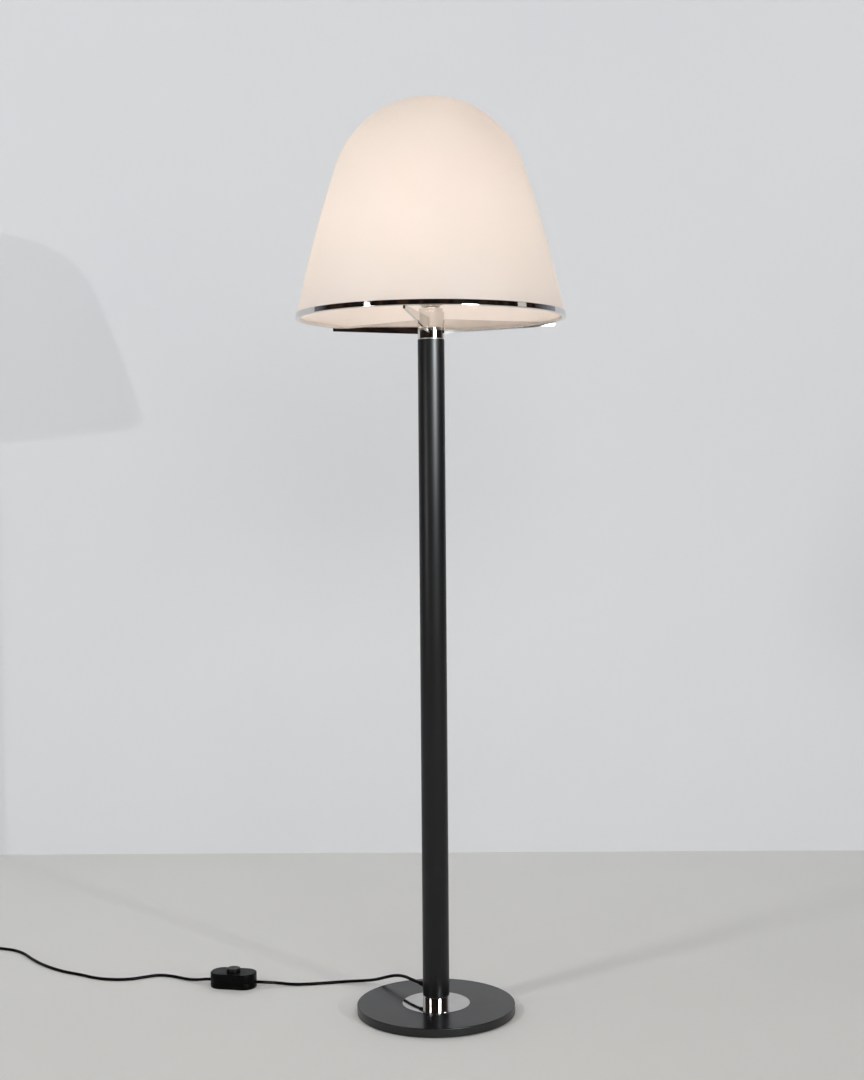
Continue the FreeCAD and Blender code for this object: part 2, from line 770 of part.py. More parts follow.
def make_bulb():
    crest = "bulb_cap_dia / 2"
    root = "(bulb_cap_dia / 2 - 0.8)"
    threads = int(round(number("bulb_turns")))
    turned(
        "bulb_contact",
        [
            ("0", "0"),
            ("3.6", "0"),
            ("4.6", "1"),
            ("0", "1"),
        ],
        BULB_BASE,
    )
    turned(
        "bulb_insulator",
        [
            ("0", "1"),
            ("5", "1"),
            (f"{root} - 1.2", f"bulb_base"),
            (f"{root} - 1.2", f"bulb_base + 2"),
            ("0", f"bulb_base + 2"),
        ],
        BULB_BASE,
    )
    outline = [(f"{root} - 1", f"bulb_base"), (root, f"bulb_base")]
    for k in range(threads):
        low = f"bulb_base + bulb_pitch * {k}"
        outline.append((root, f"{low} + bulb_pitch * 0.2"))
        outline.append((crest, f"{low} + bulb_pitch * 0.45"))
        outline.append((crest, f"{low} + bulb_pitch * 0.65"))
        outline.append((root, f"{low} + bulb_pitch * 0.9"))
    top = f"(bulb_base + bulb_cap_rise)"
    outline.append((root, top))
    outline.append((f"{root} - 1", top))
    turned("bulb_cap", outline, BULB_BASE)

    glass = new_body("bulb_glass", BULB_BASE)
    sketch = new_sketch(glass, "XZ_Plane")
    pear_outline(sketch, f"(bulb_base + 2.2)")
    revolve(glass, sketch)


def pear_outline(sketch, foot):
    """Half section of a hollow pear-shaped glass: a ball, a tangent flare and a neck."""
    ball = number("bulb_dia / 2")
    wall = number("bulb_wall")
    neck = number("bulb_neck / 2")
    top = number("bulb_length")
    centre = FreeCAD.Vector(0, top - ball, 0)
    flare_low = number("5 + bulb_cap_rise")
    steep = math.radians(-38)
    normal = FreeCAD.Vector(0, 0, 1)

    def skin(inset):
        """Gives the ball arc, the flare and the neck line of one face of the glass."""
        radius = ball - inset
        joint = centre + FreeCAD.Vector(radius * math.cos(steep), radius * math.sin(steep), 0)
        neck_top = FreeCAD.Vector(neck - inset, flare_low, 0)
        neck_end = FreeCAD.Vector(neck - inset, number(foot), 0)
        crown = FreeCAD.Vector(0, centre.y + radius, 0)
        arc = Part.ArcOfCircle(Part.Circle(centre, normal, radius), steep, math.pi / 2)
        return arc, joint, neck_top, neck_end, crown

    outer_arc, outer_joint, outer_neck, outer_end, outer_crown = skin(0)
    inner_arc, inner_joint, inner_neck, inner_end, inner_crown = skin(wall)
    for arc in (outer_arc, inner_arc):
        sketch.addGeometry(arc)
    lines = [
        (outer_joint, outer_neck),
        (outer_neck, outer_end),
        (outer_end, inner_end),
        (inner_end, inner_neck),
        (inner_neck, inner_joint),
        (inner_crown, outer_crown),
    ]
    for start, end in lines:
        sketch.addGeometry(Part.LineSegment(start, end))
    constraint = Sketcher.Constraint
    for kind, *where in (
        ("Tangent", 0, 1, 2, 1),
        ("Coincident", 2, 2, 3, 1),
        ("Coincident", 3, 2, 4, 1),
        ("Coincident", 4, 2, 5, 1),
        ("Coincident", 5, 2, 6, 1),
        ("Tangent", 6, 2, 1, 1),
        ("Coincident", 1, 2, 7, 1),
        ("Coincident", 7, 2, 0, 2),
        ("PointOnObject", 0, 3, -2),
        ("PointOnObject", 0, 2, -2),
        ("PointOnObject", 1, 2, -2),
        ("Coincident", 0, 3, 1, 3),
        ("Vertical", 3),
        ("Vertical", 5),
        ("Horizontal", 4),
    ):
        sketch.addConstraint(constraint(kind, *where))
    for geometry, radius in ((0, "bulb_dia / 2"), (1, "bulb_dia / 2 - bulb_wall")):
        sketch.addConstraint(constraint("Radius", geometry, number(radius)))
        sketch.setExpression(f"Constraints[{sketch.ConstraintCount - 1}]", formula(radius))
    hold(sketch, "DistanceY", 0, 3, "bulb_length - bulb_dia / 2")
    hold(sketch, "DistanceX", 3, 1, "bulb_neck / 2")
    hold(sketch, "DistanceX", 5, 1, "bulb_neck / 2 - bulb_wall")
    hold(sketch, "DistanceY", 3, 1, "5 + bulb_cap_rise")
    hold(sketch, "DistanceY", 5, 2, "5 + bulb_cap_rise")
    hold(sketch, "DistanceY", 4, 1, foot)


# ---- shade ---------------------------------------------------------------------------------------


def make_shade():
    dome = new_body("shade_dome", f"{RIM} + ring_sheet")
    sketch = new_sketch(dome, "XZ_Plane")
    dome_outline(sketch)
    revolve(dome, sketch)

    skirt = "(rim_radius + ring_room)"
    outer = f"({skirt} + ring_sheet)"
    inner = RING_INSIDE
    turned(
        "rim_ring",
        [
            (inner, "0"),
            (outer, "0"),
            (outer, "ring_height"),
            (skirt, "ring_height"),
            (skirt, "ring_sheet"),
            (f"{inner} + ring_sheet", "ring_sheet"),
            (f"{inner} + ring_sheet", "ring_inner"),
            (inner, "ring_inner"),
        ],
        RIM,
    )


def dome_outline(sketch):
    """Half section of the shade: a crown arc, a long side arc tangent to it, and a short skirt."""
    crown = number("crown_radius")
    side = number("side_radius")
    wall = number("shade_wall")
    rim = number("rim_radius")
    skirt = number("ring_height - ring_sheet")
    top = number("shade_rise - ring_sheet")
    centre = FreeCAD.Vector(0, top - crown, 0)
    gap = side - crown
    reach = FreeCAD.Vector(rim, skirt - centre.y, 0)
    cosine = (side**2 - gap**2 - reach.Length**2) / (2 * gap * reach.Length)
    lean = math.atan2(reach.y, reach.x) + math.acos(cosine)
    along = FreeCAD.Vector(math.cos(lean), math.sin(lean), 0)
    side_centre = centre - along * gap
    skirt_lean = math.asin((skirt - side_centre.y) / side)
    inner_lean = math.asin((skirt - side_centre.y) / (side - wall))
    inner_rim = side_centre.x + (side - wall) * math.cos(inner_lean)
    normal = FreeCAD.Vector(0, 0, 1)

    def arc(middle, radius, start, end):
        return Part.ArcOfCircle(Part.Circle(middle, normal, radius), start, end)

    sketch.addGeometry(arc(centre, crown, lean, math.pi / 2))
    sketch.addGeometry(arc(side_centre, side, skirt_lean, lean))
    sketch.addGeometry(arc(centre, crown - wall, lean, math.pi / 2))
    sketch.addGeometry(arc(side_centre, side - wall, inner_lean, lean))
    corners = [
        ((rim, skirt), (rim, 0)),
        ((rim, 0), (inner_rim, 0)),
        ((inner_rim, 0), (inner_rim, skirt)),
        ((0, top - wall), (0, top)),
    ]
    for start, end in corners:
        sketch.addGeometry(Part.LineSegment(FreeCAD.Vector(*start, 0), FreeCAD.Vector(*end, 0)))
    spoke = sketch.addGeometry(Part.LineSegment(centre, centre + along * crown), True)
    constraint = Sketcher.Constraint
    for kind, *where in (
        ("PointOnObject", 0, 3, -2),
        ("PointOnObject", 0, 2, -2),
        ("Tangent", 0, 1, 1, 2),
        ("Coincident", spoke, 1, 0, 3),
        ("Coincident", spoke, 2, 0, 1),
        ("Coincident", 2, 3, 0, 3),
        ("PointOnObject", 2, 2, -2),
        ("PointOnObject", 2, 1, spoke),
        ("Coincident", 3, 3, 1, 3),
        ("Coincident", 3, 2, 2, 1),
        ("Coincident", 4, 1, 1, 1),
        ("Coincident", 4, 2, 5, 1),
        ("Coincident", 5, 2, 6, 1),
        ("Coincident", 6, 2, 3, 1),
        ("Coincident", 7, 1, 2, 2),
        ("Coincident", 7, 2, 0, 2),
        ("Vertical", 4),
        ("Vertical", 6),
        ("Horizontal", 5),
        ("PointOnObject", 5, 1, -1),
    ):
        sketch.addConstraint(constraint(kind, *where))
    for geometry, radius in (
        (0, "crown_radius"),
        (1, "side_radius"),
        (2, "crown_radius - shade_wall"),
    ):
        sketch.addConstraint(constraint("Radius", geometry, number(radius)))
        sketch.setExpression(f"Constraints[{sketch.ConstraintCount - 1}]", formula(radius))
    hold(sketch, "DistanceY", 0, 2, "shade_rise - ring_sheet")
    hold(sketch, "DistanceX", 1, 1, "rim_radius")
    hold(sketch, "DistanceY", 1, 1, "ring_height - ring_sheet")
    hold(sketch, "DistanceY", 3, 1, "ring_height - ring_sheet")


# ---- foot switch ---------------------------------------------------------------------------------


def place_on_floor(item, place, height="0"):
    """Stands a piece at its place on the floor, at a height."""
    x, y, turn = place
    item.Placement = FreeCAD.Placement(
        FreeCAD.Vector(x, y, number(height)),
        FreeCAD.Rotation(FreeCAD.Vector(0, 0, 1), turn),
    )
    if height != "0":
        item.setExpression("Placement.Base.z", formula(height))


def both_bosses(sketch, radius):
    """Draws the two circles of the screw bosses."""
    circle(sketch, "boss_spread", "0", radius)
    circle(sketch, "-boss_spread", "0", radius)


def make_switch():
    inner_long = "(switch_long - 2 * switch_wall)"
    inner_wide = "(switch_wide - 2 * switch_wall)"
    inner_round = "(switch_round - switch_wall)"
    notch = "(cord_dia / 2 + seat_gap)"

    base = new_body("switch_base")
    outline = new_sketch(base, "XY_Plane")
    rounded_outline(outline, "switch_long", "switch_wide", "switch_round")
    pad(base, outline, "switch_split")
    room = new_sketch(base, "XY_Plane", "switch_wall")
    rounded_outline(room, inner_long, inner_wide, inner_round)
    pocket(base, room, "switch_split", reverse=True)
    channel = new_sketch(base, "YZ_Plane")
    circle(channel, "0", "switch_split", notch)
    pocket(base, channel, "switch_long + 2", midplane=True)
    bosses = new_sketch(base, "XY_Plane")
    both_bosses(bosses, "boss_dia / 2")
    pad(base, bosses, "switch_split")
    holes = new_sketch(base, "XY_Plane")
    both_bosses(holes, "tapping_dia / 2 + seat_gap")
    pocket(base, holes, "switch_split", reverse=True)
    sunk = new_sketch(base, "XY_Plane")
    both_bosses(sunk, "tapping_dia + seat_gap")
    pocket(base, sunk, "switch_wall", reverse=True)
    place_on_floor(base, SWITCH_PLACE)

    cover_high = "(switch_high - switch_split)"
    cover = new_body("switch_cover")
    outline = new_sketch(cover, "XY_Plane")
    rounded_outline(outline, "switch_long", "switch_wide", "switch_round")
    pad(cover, outline, cover_high)
    round_edges(cover, "switch_edge", edge_at_height(cover_high))
    room = new_sketch(cover, "XY_Plane")
    rounded_outline(room, inner_long, inner_wide, inner_round)
    pocket(cover, room, f"{cover_high} - switch_wall", reverse=True)
    channel = new_sketch(cover, "YZ_Plane")
    circle(channel, "0", "0", notch)
    pocket(cover, channel, "switch_long + 2", midplane=True)
    bosses = new_sketch(cover, "XY_Plane")
    both_bosses(bosses, "boss_dia / 2")
    pad(cover, bosses, f"{cover_high} - switch_wall / 2")
    holes = new_sketch(cover, "XY_Plane")
    both_bosses(holes, "tapping_dia / 2 - 0.3")
    pocket(cover, holes, "tapping_bite + 1", reverse=True)
    opening = new_sketch(cover, "XY_Plane")
    circle(opening, "0", "0", "button_dia / 2 + button_play")
    pocket(cover, opening, "switch_high", reverse=True)
    place_on_floor(cover, SWITCH_PLACE, "switch_split")

    screws = new_body("switch_screws")
    heads = new_sketch(screws, "XY_Plane")
    both_bosses(heads, "tapping_dia")
    pad(screws, heads, "switch_wall - 0.4")
    shanks = new_sketch(screws, "XY_Plane")
    both_bosses(shanks, "tapping_dia / 2")
    pad(screws, shanks, "switch_split + tapping_bite - 0.4")
    place_on_floor(screws, SWITCH_PLACE, "0.4")

    block = new_body("switch_block")
    outline = new_sketch(block, "XY_Plane")
    block_outline(outline, "-block_long / 2", "-block_wide / 2", "block_long / 2", "block_wide / 2")
    pad(block, outline, "block_high")
    place_on_floor(block, SWITCH_PLACE, "switch_wall")

    block_top = "(switch_wall + block_high)"
    stem_foot = f"({block_top} + button_travel + 0.3)"
    button_top = "(switch_high + button_rise)"
    flange_top = "(switch_high - switch_wall - 0.3)"
    side = "(button_dia / 2)"
    bore = "(button_dia / 2 - button_flange)"
    shoulder = "(spring_dia / 2 + spring_wire)"
    spring_top = f"({stem_foot} + 6)"
    button = new_body("switch_button")
    sketch = new_sketch(button, "XZ_Plane")
    polygon(
        sketch,
        [
            ("0", f"{stem_foot}"),
            ("spring_dia / 2 - spring_wire", f"{stem_foot}"),
            ("spring_dia / 2 - spring_wire", spring_top),
            (shoulder, spring_top),
            (shoulder, f"{button_top} - 2"),
            (bore, f"{button_top} - 2"),
            (bore, f"{flange_top} - button_flange"),
            (f"{side} + button_flange", f"{flange_top} - button_flange"),
            (f"{side} + button_flange", flange_top),
            (side, flange_top),
            (side, f"{button_top} - 1"),
            (f"{side} - 1", button_top),
            ("0", button_top),
        ],
    )
    revolve(button, sketch)
    place_on_floor(button, SWITCH_PLACE)

    spring = new_body("switch_spring")
    section = new_sketch(spring, "XZ_Plane")
    circle(section, "spring_dia / 2", "spring_wire / 2", "spring_wire / 2")
    helix = spring.newObject("PartDesign::AdditiveHelix", "switch_spring_coil")
    helix.Profile = section
    helix.ReferenceAxis = (section, ["V_Axis"])
    helix.Mode = 1
    helix.setExpression("Pitch", formula(f"({spring_top} - {block_top} - spring_wire) / spring_turns"))
    helix.setExpression("Turns", formula("spring_turns"))
    doc.recompute()
    place_on_floor(spring, SWITCH_PLACE, block_top)


# ---- plug ----------------------------------------------------------------------------------------


def make_plug():
    """A flat two-pin plug that lies on the floor, its pins along its own +X."""
    body = new_body("plug_body")
    sections = []
    for offset, width, high in (
        ("0", "cord_dia + 4", "cord_dia + 2"),
        ("plug_long * 0.45", "plug_wide - 4", "plug_high - 1"),
        ("plug_long", "plug_wide", "plug_high"),
    ):
        section = new_sketch(body, "YZ_Plane", offset)
        rounded_outline(section, width, high, f"({high}) * 0.35")
        sections.append(section)
    loft = body.newObject("PartDesign::AdditiveLoft", "plug_body_loft")
    loft.Profile = sections[0]
    loft.Sections = sections[1:]
    loft.Ruled = True
    doc.recompute()
    place_on_floor(body, PLUG_PLACE, "plug_high / 2")
    pins = new_body("plug_pins")
    sketch = new_sketch(pins, "YZ_Plane", "plug_long")
    circle(sketch, "pin_spread / 2", "0", "pin_dia / 2")
    circle(sketch, "-pin_spread / 2", "0", "pin_dia / 2")
    pad(pins, sketch, "pin_long")
    place_on_floor(pins, PLUG_PLACE, "plug_high / 2")


# ---- cords ---------------------------------------------------------------------------------------


def rounded_path(points):
    """Joins points by straight runs and tangent arcs; gives the wire, its radii and its length."""
    corners = [FreeCAD.Vector(*point) for point in points]
    radii = []
    edges = []
    start = corners[0]
    for before, corner, after in zip(corners, corners[1:], corners[2:]):
        back = (before - corner).normalize()
        ahead = (after - corner).normalize()
        turn = math.pi - back.getAngle(ahead)
        shorter = min(before.distanceToPoint(corner), corner.distanceToPoint(after))
        cut = 0.45 * shorter
        radius = cut / math.tan(turn / 2)
        middle = (back + ahead).normalize()
        to_centre = math.hypot(cut, radius)
        arc_start = corner + back * cut
        arc_end = corner + ahead * cut
        arc_middle = corner + middle * (to_centre - radius)
        edges.append(Part.LineSegment(start, arc_start).toShape())
        edges.append(Part.Arc(arc_start, arc_middle, arc_end).toShape())
        radii.append(radius)
        start = arc_end
    edges.append(Part.LineSegment(start, corners[-1]).toShape())
    wire = Part.Wire(edges)
    return wire, radii, sum(edge.Length for edge in edges)


def solid_tube(path, diameter):
    """Sweeps a round section along a wire and checks the volume."""
    start = path.Edges[0].firstVertex().Point
    along = path.Edges[0].tangentAt(path.Edges[0].FirstParameter)
    profile = Part.Wire([Part.makeCircle(diameter / 2, start, along)])
    tube = path.makePipeShell([profile], True, False)
    ideal = math.pi * diameter**2 / 4 * path.Length
    if abs(tube.Volume - ideal) > 0.01 * ideal:
        raise RuntimeError("a cord's volume is not its section times its length")
    return tube


def add_shape(label, shape):
    """Adds a sub-part whose shape is given."""
    item = doc.addObject("Part::Feature", label)
    item.Label = label
    item.Shape = shape
    return item


def along_exit(distance):
    """Gives a point at a distance from the pole's axis, on the cord's way out."""
    turn = math.radians(number("exit_turn"))
    return (distance * math.cos(turn), distance * math.sin(turn), number(EXIT_HEIGHT))


def make_cords():
    diameter = number("cord_dia")
    lamp_cord = [along_exit(number("gland_reach"))] + LAMP_CORD
    for label, points in (
        ("cord_to_switch", lamp_cord),
        ("cord_to_coil", MAINS_CORD),
        ("cord_to_plug", PLUG_CORD),
    ):
        wire, radii, length = rounded_path(points)
        add_shape(label, solid_tube(wire, diameter))
        shown = " ".join(f"{radius:.0f}" for radius in radii)
        print(f"{label}: length {length:.0f}, radii {shown}")
    coil_x, coil_y = COIL_PLACE
    inner = "(coil_mean / 2 - coil_wide / 2)"
    outer = "(coil_mean / 2 + coil_wide / 2)"
    soft = "coil_high * 0.3"
    coil = turned(
        "cord_coil",
        [
            (f"{inner} + {soft}", "0"),
            (f"{outer} - {soft}", "0"),
            (outer, soft),
            (outer, f"coil_high - {soft}"),
            (f"{outer} - {soft}", "coil_high"),
            (f"{inner} + {soft}", "coil_high"),
            (inner, f"coil_high - {soft}"),
            (inner, soft),
        ],
    )
    place_on_floor(coil, (coil_x, coil_y, 0))
    tie = new_body("cord_tie")
    band = new_sketch(tie, "XZ_Plane")
    block_outline(band, f"{inner} - tie_thick", "0", f"{outer} + tie_thick", "coil_high + tie_thick")
    pad(tie, band, "tie_wide", midplane=True)
    opening = new_sketch(tie, "XZ_Plane")
    block_outline(opening, inner, "tie_thick", outer, "coil_high")
    pocket(tie, opening, "tie_wide + 2", midplane=True)
    place_on_floor(tie, (coil_x, coil_y, -35))


def make_inner_cable():
    """The cable from the strain relief up the pole, and its two wires into the lampholder."""
    diameter = number("cord_dia")
    flange = number("gland_flange")
    bore = number(POLE_BORE)
    start = bore - flange**2 / 8 / bore - number("seat_gap") - number("gland_lip")
    upright = number("rod_dia / 2 + cord_dia / 2") + 3.5
    turn = math.radians(number("exit_turn"))
    seat_turn = math.radians(number("hub_turn") + 90)
    seat = number("cable_seat")
    low = number(EXIT_HEIGHT)
    high = number(CORE_TOP)

    def spot(radius, angle, height):
        return FreeCAD.Vector(radius * math.cos(angle), radius * math.sin(angle), height)

    bend = start - upright
    knee = math.sqrt(0.5)
    way = [
        Part.Arc(
            spot(start, turn, low),
            spot(upright + bend * (1 - knee), turn, low + bend * (1 - knee)),
            spot(upright, turn, low + bend),
        ).toShape()
    ]
    lean_low = spot(upright, turn, high - number("cable_low"))
    lean_high = spot(seat, seat_turn, high - number("cable_high"))
    wire, radii, length = rounded_path(
        [spot(upright, turn, low + bend), lean_low, lean_high, spot(seat, seat_turn, high)]
    )
    path = Part.Wire(way + wire.Edges)
    add_shape("inner_cable", solid_tube(path, diameter))

    wire_dia = 1.6
    level = high + number("clamp_thick") + number("screw_head") + 2.4
    tubes = []
    for shift in (-1.3, 1.3):
        aside = FreeCAD.Vector(-math.sin(seat_turn), math.cos(seat_turn), 0) * shift
        points = [
            spot(seat, seat_turn, high) + aside,
            spot(seat, seat_turn, level) + aside,
            spot(0, seat_turn, level) + aside,
            spot(0, seat_turn, number(NIPPLE_TOP) + 1.5) + aside,
        ]
        wire, radii, length = rounded_path(points)
        tubes.append(solid_tube(wire, wire_dia))
    add_shape("holder_wires", Part.makeCompound(tubes))


# ---- build, check and write ----------------------------------------------------------------------

NODES = [
    "base_felt", "base_plate", "base_disc", "base_collar", "base_washer", "base_nut", "tie_rod",
    "pole_tube", "cord_gland", "inner_cable", "hub_core", "hub_tube", "hub_washer", "hub_nut",
    "arm_right", "arm_left", "arm_front", "arm_clamp_plate", "clamp_screws", "hub_cap",
    "holder_nipple", "holder_cap", "holder_locknut", "holder_insert", "holder_contact",
    "holder_thread", "holder_skirt", "holder_wires", "bulb_contact", "bulb_insulator", "bulb_cap",
    "bulb_glass", "shade_dome", "rim_ring", "switch_base", "switch_cover", "switch_screws", "switch_block",
    "switch_button", "switch_spring", "plug_body", "plug_pins", "cord_to_switch", "cord_to_coil",
    "cord_coil", "cord_to_plug", "cord_tie",
]


def write_nodes():
    """Checks every object and writes each sub-part to its own file."""
    doc.recompute()
    for item in doc.Objects:
        if "Invalid" in item.State or "Error" in item.State:
            raise RuntimeError(f"{item.Label} failed: {item.State}")
    os.makedirs("parts", exist_ok=True)
    by_label = {item.Label: item for item in doc.Objects}
    for label in NODES:
        shape = by_label[label].Shape
        if shape.isNull() or not shape.isValid() or not shape.Solids:
            raise RuntimeError(f"{label} has no valid solid")
        shape.exportStep(f"parts/{label}.step")
        box = shape.BoundBox
        print(
            f"{label}: solids {len(shape.Solids)} volume {shape.Volume:.0f}"
            f" z {box.ZMin:.1f} to {box.ZMax:.1f}"
        )


make_base()
make_tie_rod()
make_pole()
make_gland()
make_hub()
make_arms()
make_lampholder()
make_bulb()
make_shade()
make_switch()
make_plug()
make_inner_cable()
make_cords()
write_nodes()
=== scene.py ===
"""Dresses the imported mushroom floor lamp: camera, cords, turned and bent metal, opal shade, switch.

Metres, +Z up, the lamp's front towards -Y. Sizes in the lists of outlines are millimetres.
"""
import math

import bmesh
import bpy
from mathutils import Matrix, Vector


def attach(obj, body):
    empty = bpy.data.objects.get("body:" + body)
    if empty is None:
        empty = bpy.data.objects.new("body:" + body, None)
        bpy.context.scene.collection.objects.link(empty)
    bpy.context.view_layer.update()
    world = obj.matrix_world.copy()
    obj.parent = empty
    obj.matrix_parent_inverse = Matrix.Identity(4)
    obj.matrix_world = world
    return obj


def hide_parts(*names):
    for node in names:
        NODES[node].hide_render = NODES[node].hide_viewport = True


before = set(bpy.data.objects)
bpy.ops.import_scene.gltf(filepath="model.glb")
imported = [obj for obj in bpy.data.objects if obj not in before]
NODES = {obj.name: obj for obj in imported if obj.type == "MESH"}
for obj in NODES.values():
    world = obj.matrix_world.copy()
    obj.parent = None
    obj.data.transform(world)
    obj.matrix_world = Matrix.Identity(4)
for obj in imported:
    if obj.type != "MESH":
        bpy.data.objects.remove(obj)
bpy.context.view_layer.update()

SCENE = bpy.context.scene
MM = 0.001

# Heights of the lamp's main levels, in millimetres above the floor.
PLATE_TOP = 17.5
DISC_TOP = 18.0
POLE_FOOT = 33.0
EXIT_HEIGHT = 43.0
POLE_TOP = 1265.0
RIM = 1302.5
HUB_TOP = 1315.5
CAP_TOP = 1322.5
BULB_BASE = 1343.2
# Radii that several pieces share, in millimetres.
POLE_RADIUS = 25.0
ROD_HOLE = 5.3
NIPPLE_HOLE = 5.1
CORD_RADIUS = 3.0
# Turns about the pole, in degrees.
ARM_TURN = 19.5
EXIT_TURN = 128.0
# Places on the floor: x and y, then a height for the plug, then a turn in degrees.
SWITCH_PLACE = (-403.0, 166.0, -12.0)
COIL_PLACE = (-1000.0, 409.0)
STRAP_TURN = -35.0
PLUG_PLACE = (-1042.5, 355.0, 7.0, -104.0)


# ---- camera ----

CAMERA_PLACE = (-0.0011, -3.02, 1.0)
CAMERA_TIP = 2.052
CAMERA_ROLL = -0.45


def place_camera():
    """A normal lens at chest height, three metres in front of the lamp, tipped a little down."""
    camera = bpy.data.cameras.new("studio_camera")
    camera.sensor_fit = "VERTICAL"
    camera.sensor_height = 24.0
    camera.lens = 35.91
    camera.clip_end = 60.0
    holder = bpy.data.objects.new("studio_camera", camera)
    level = Matrix.Rotation(math.radians(90.0 - CAMERA_TIP), 4, "X")
    roll = Matrix.Rotation(math.radians(CAMERA_ROLL), 4, "Z")
    holder.matrix_world = Matrix.Translation(CAMERA_PLACE) @ level @ roll
    SCENE.collection.objects.link(holder)
    SCENE.camera = holder


# ---- materials ----

# A grain lies mostly between these values, which become the ends of its tones and of its gloss.
TONE_ENDS = (0.35, 0.65)
GLOSS_ENDS = (0.3, 0.7)
RANGE_ENDS = ("From Min", "From Max", "To Min", "To Max")
# The level of a fine grain above which a speck of dust lies on the lacquer.
DUST_LEVEL = 0.79
# The share of light that goes through the opal skin instead of coming back.
OPAL_THROUGH = 0.56


def linear(code):
    """Turns an sRGB hex colour into the linear colour that shaders take."""
    channels = []
    for start in (1, 3, 5):
        value = int(code[start:start + 2], 16) / 255.0
        channels.append(value / 12.92 if value <= 0.04045 else ((value + 0.055) / 1.055) ** 2.4)
    return (*channels, 1.0)


def add_node(tree, kind, inputs=None, stops=(), **settings):
    """Adds a node, sets its properties and a ramp's stops, and fills or links its inputs."""
    node = tree.nodes.new(kind)
    for name, value in settings.items():
        setattr(node, name, value)
    for k, (position, code) in enumerate(stops):
        node.color_ramp.elements[k].position = position
        node.color_ramp.elements[k].color = linear(code)
    for name, value in (inputs or {}).items():
        if isinstance(value, bpy.types.NodeSocket):
            tree.links.new(value, node.inputs[name])
        else:
            node.inputs[name].default_value = value
    return node


def blank_material(name, **shader):
    """Makes a material with a Principled shader; gives the material, its tree and that shader."""
    material = bpy.data.materials.new(name)
    material.use_nodes = True
    tree = material.node_tree
    tree.nodes.clear()
    inputs = {key.replace("_", " "): value for key, value in shader.items()}
    surface = add_node(tree, "ShaderNodeBsdfPrincipled", inputs)
    add_node(tree, "ShaderNodeOutputMaterial", {"Surface": surface.outputs["BSDF"]})
    return material, tree, surface


def object_grain(tree, wave_mm, detail=3.0, stretch=(1.0, 1.0, 1.0), roughness=0.5):
    """Noise whose blobs are wave_mm across, on object coordinates."""
    place = add_node(tree, "ShaderNodeTexCoord")
    mapping = add_node(
        tree,
        "ShaderNodeMapping",
        {"Vector": place.outputs["Object"], "Scale": stretch},
    )
    return add_node(
        tree,
        "ShaderNodeTexNoise",
        {
            "Vector": mapping.outputs["Vector"],
            "Scale": 1000.0 / wave_mm,
            "Detail": detail,
            "Roughness": roughness,
        },
    ).outputs["Fac"]


def axes(tree, kind="Object"):
    """The X, Y and Z of a texture coordinate."""
    place = add_node(tree, "ShaderNodeTexCoord")
    return add_node(tree, "ShaderNodeSeparateXYZ", {"Vector": place.outputs[kind]}).outputs


def finish_skin(tree, surface, tone, gloss=None, bumps=None):
    """Gives a surface its two tones, its range of gloss and its relief, each after a grain.

    tone is (grain, dark hex, light hex), gloss is (grain, least roughness, most roughness) and
    bumps is (grain, real depth in millimetres).
    """
    grain, *codes = tone
    ramp = add_node(tree, "ShaderNodeValToRGB", {"Fac": grain}, stops=zip(TONE_ENDS, codes))
    tree.links.new(ramp.outputs["Color"], surface.inputs["Base Color"])
    if gloss:
        grain, low, high = gloss
        inputs = {"Value": grain, **dict(zip(RANGE_ENDS, (*GLOSS_ENDS, low, high)))}
        rough = add_node(tree, "ShaderNodeMapRange", inputs)
        tree.links.new(rough.outputs["Result"], surface.inputs["Roughness"])
    if bumps:
        grain, depth_mm = bumps
        inputs = {"Height": grain, "Distance": depth_mm * MM, "Strength": 1.0}
        relief = add_node(tree, "ShaderNodeBump", inputs)
        tree.links.new(relief.outputs["Normal"], surface.inputs["Normal"])


def source_of(surface, name):
    """The output that feeds one of the shader's inputs."""
    return surface.inputs[name].links[0].from_socket


def show(tree, shader):
    """Sends a shader to the material's output in place of the Principled one."""
    output = next(node for node in tree.nodes if node.bl_idname == "ShaderNodeOutputMaterial")
    tree.links.new(shader, output.inputs["Surface"])


def grained(name, grain, tones, rough, depth_mm=0.0, **shader):
    """A material whose tone, gloss and relief follow one grain; grain is for object_grain."""
    material, tree, surface = blank_material(name, **shader)
    source = object_grain(tree, *grain)
    bumps = (source, depth_mm) if depth_mm > 0.0 else None
    finish_skin(tree, surface, (source, *tones), (source, *rough), bumps)
    return material


def lacquered_steel(name="lacquered_steel", ior=1.38, rough=(0.3, 0.35), drawn=0.0):
    """Black lacquer, sprayed on steel and polished: deep gloss, faint orange peel, a little dust.

    The drawing marks of a tube run lengthwise under the lacquer and spread its highlights sideways.
    """
    material, tree, surface = blank_material(name, IOR=ior, Anisotropic=drawn)
    cloud = object_grain(tree, 140.0, 2.0)
    peel = object_grain(tree, 4.0, 1.0)
    dust = object_grain(tree, 0.9, 0.0)
    smear = object_grain(tree, 55.0, 4.0, (1.0, 1.0, 0.25))
    finish_skin(tree, surface, (cloud, "#0e0f11", "#111214"), (smear, *rough), (peel, 0.004))
    specks = add_node(tree, "ShaderNodeMath", {0: dust, 1: DUST_LEVEL}, operation="GREATER_THAN")
    clean = source_of(surface, "Base Color")
    dusty = add_node(
        tree,
        "ShaderNodeMix",
        {"Factor": specks.outputs["Value"], "A": clean, "B": linear("#2a2a29")},
        data_type="RGBA",
    )
    tree.links.new(dusty.outputs["Result"], surface.inputs["Base Color"])
    if drawn > 0.0:
        around = add_node(tree, "ShaderNodeTangent", direction_type="RADIAL", axis="Z")
        tree.links.new(around.outputs["Tangent"], surface.inputs["Tangent"])
    return material


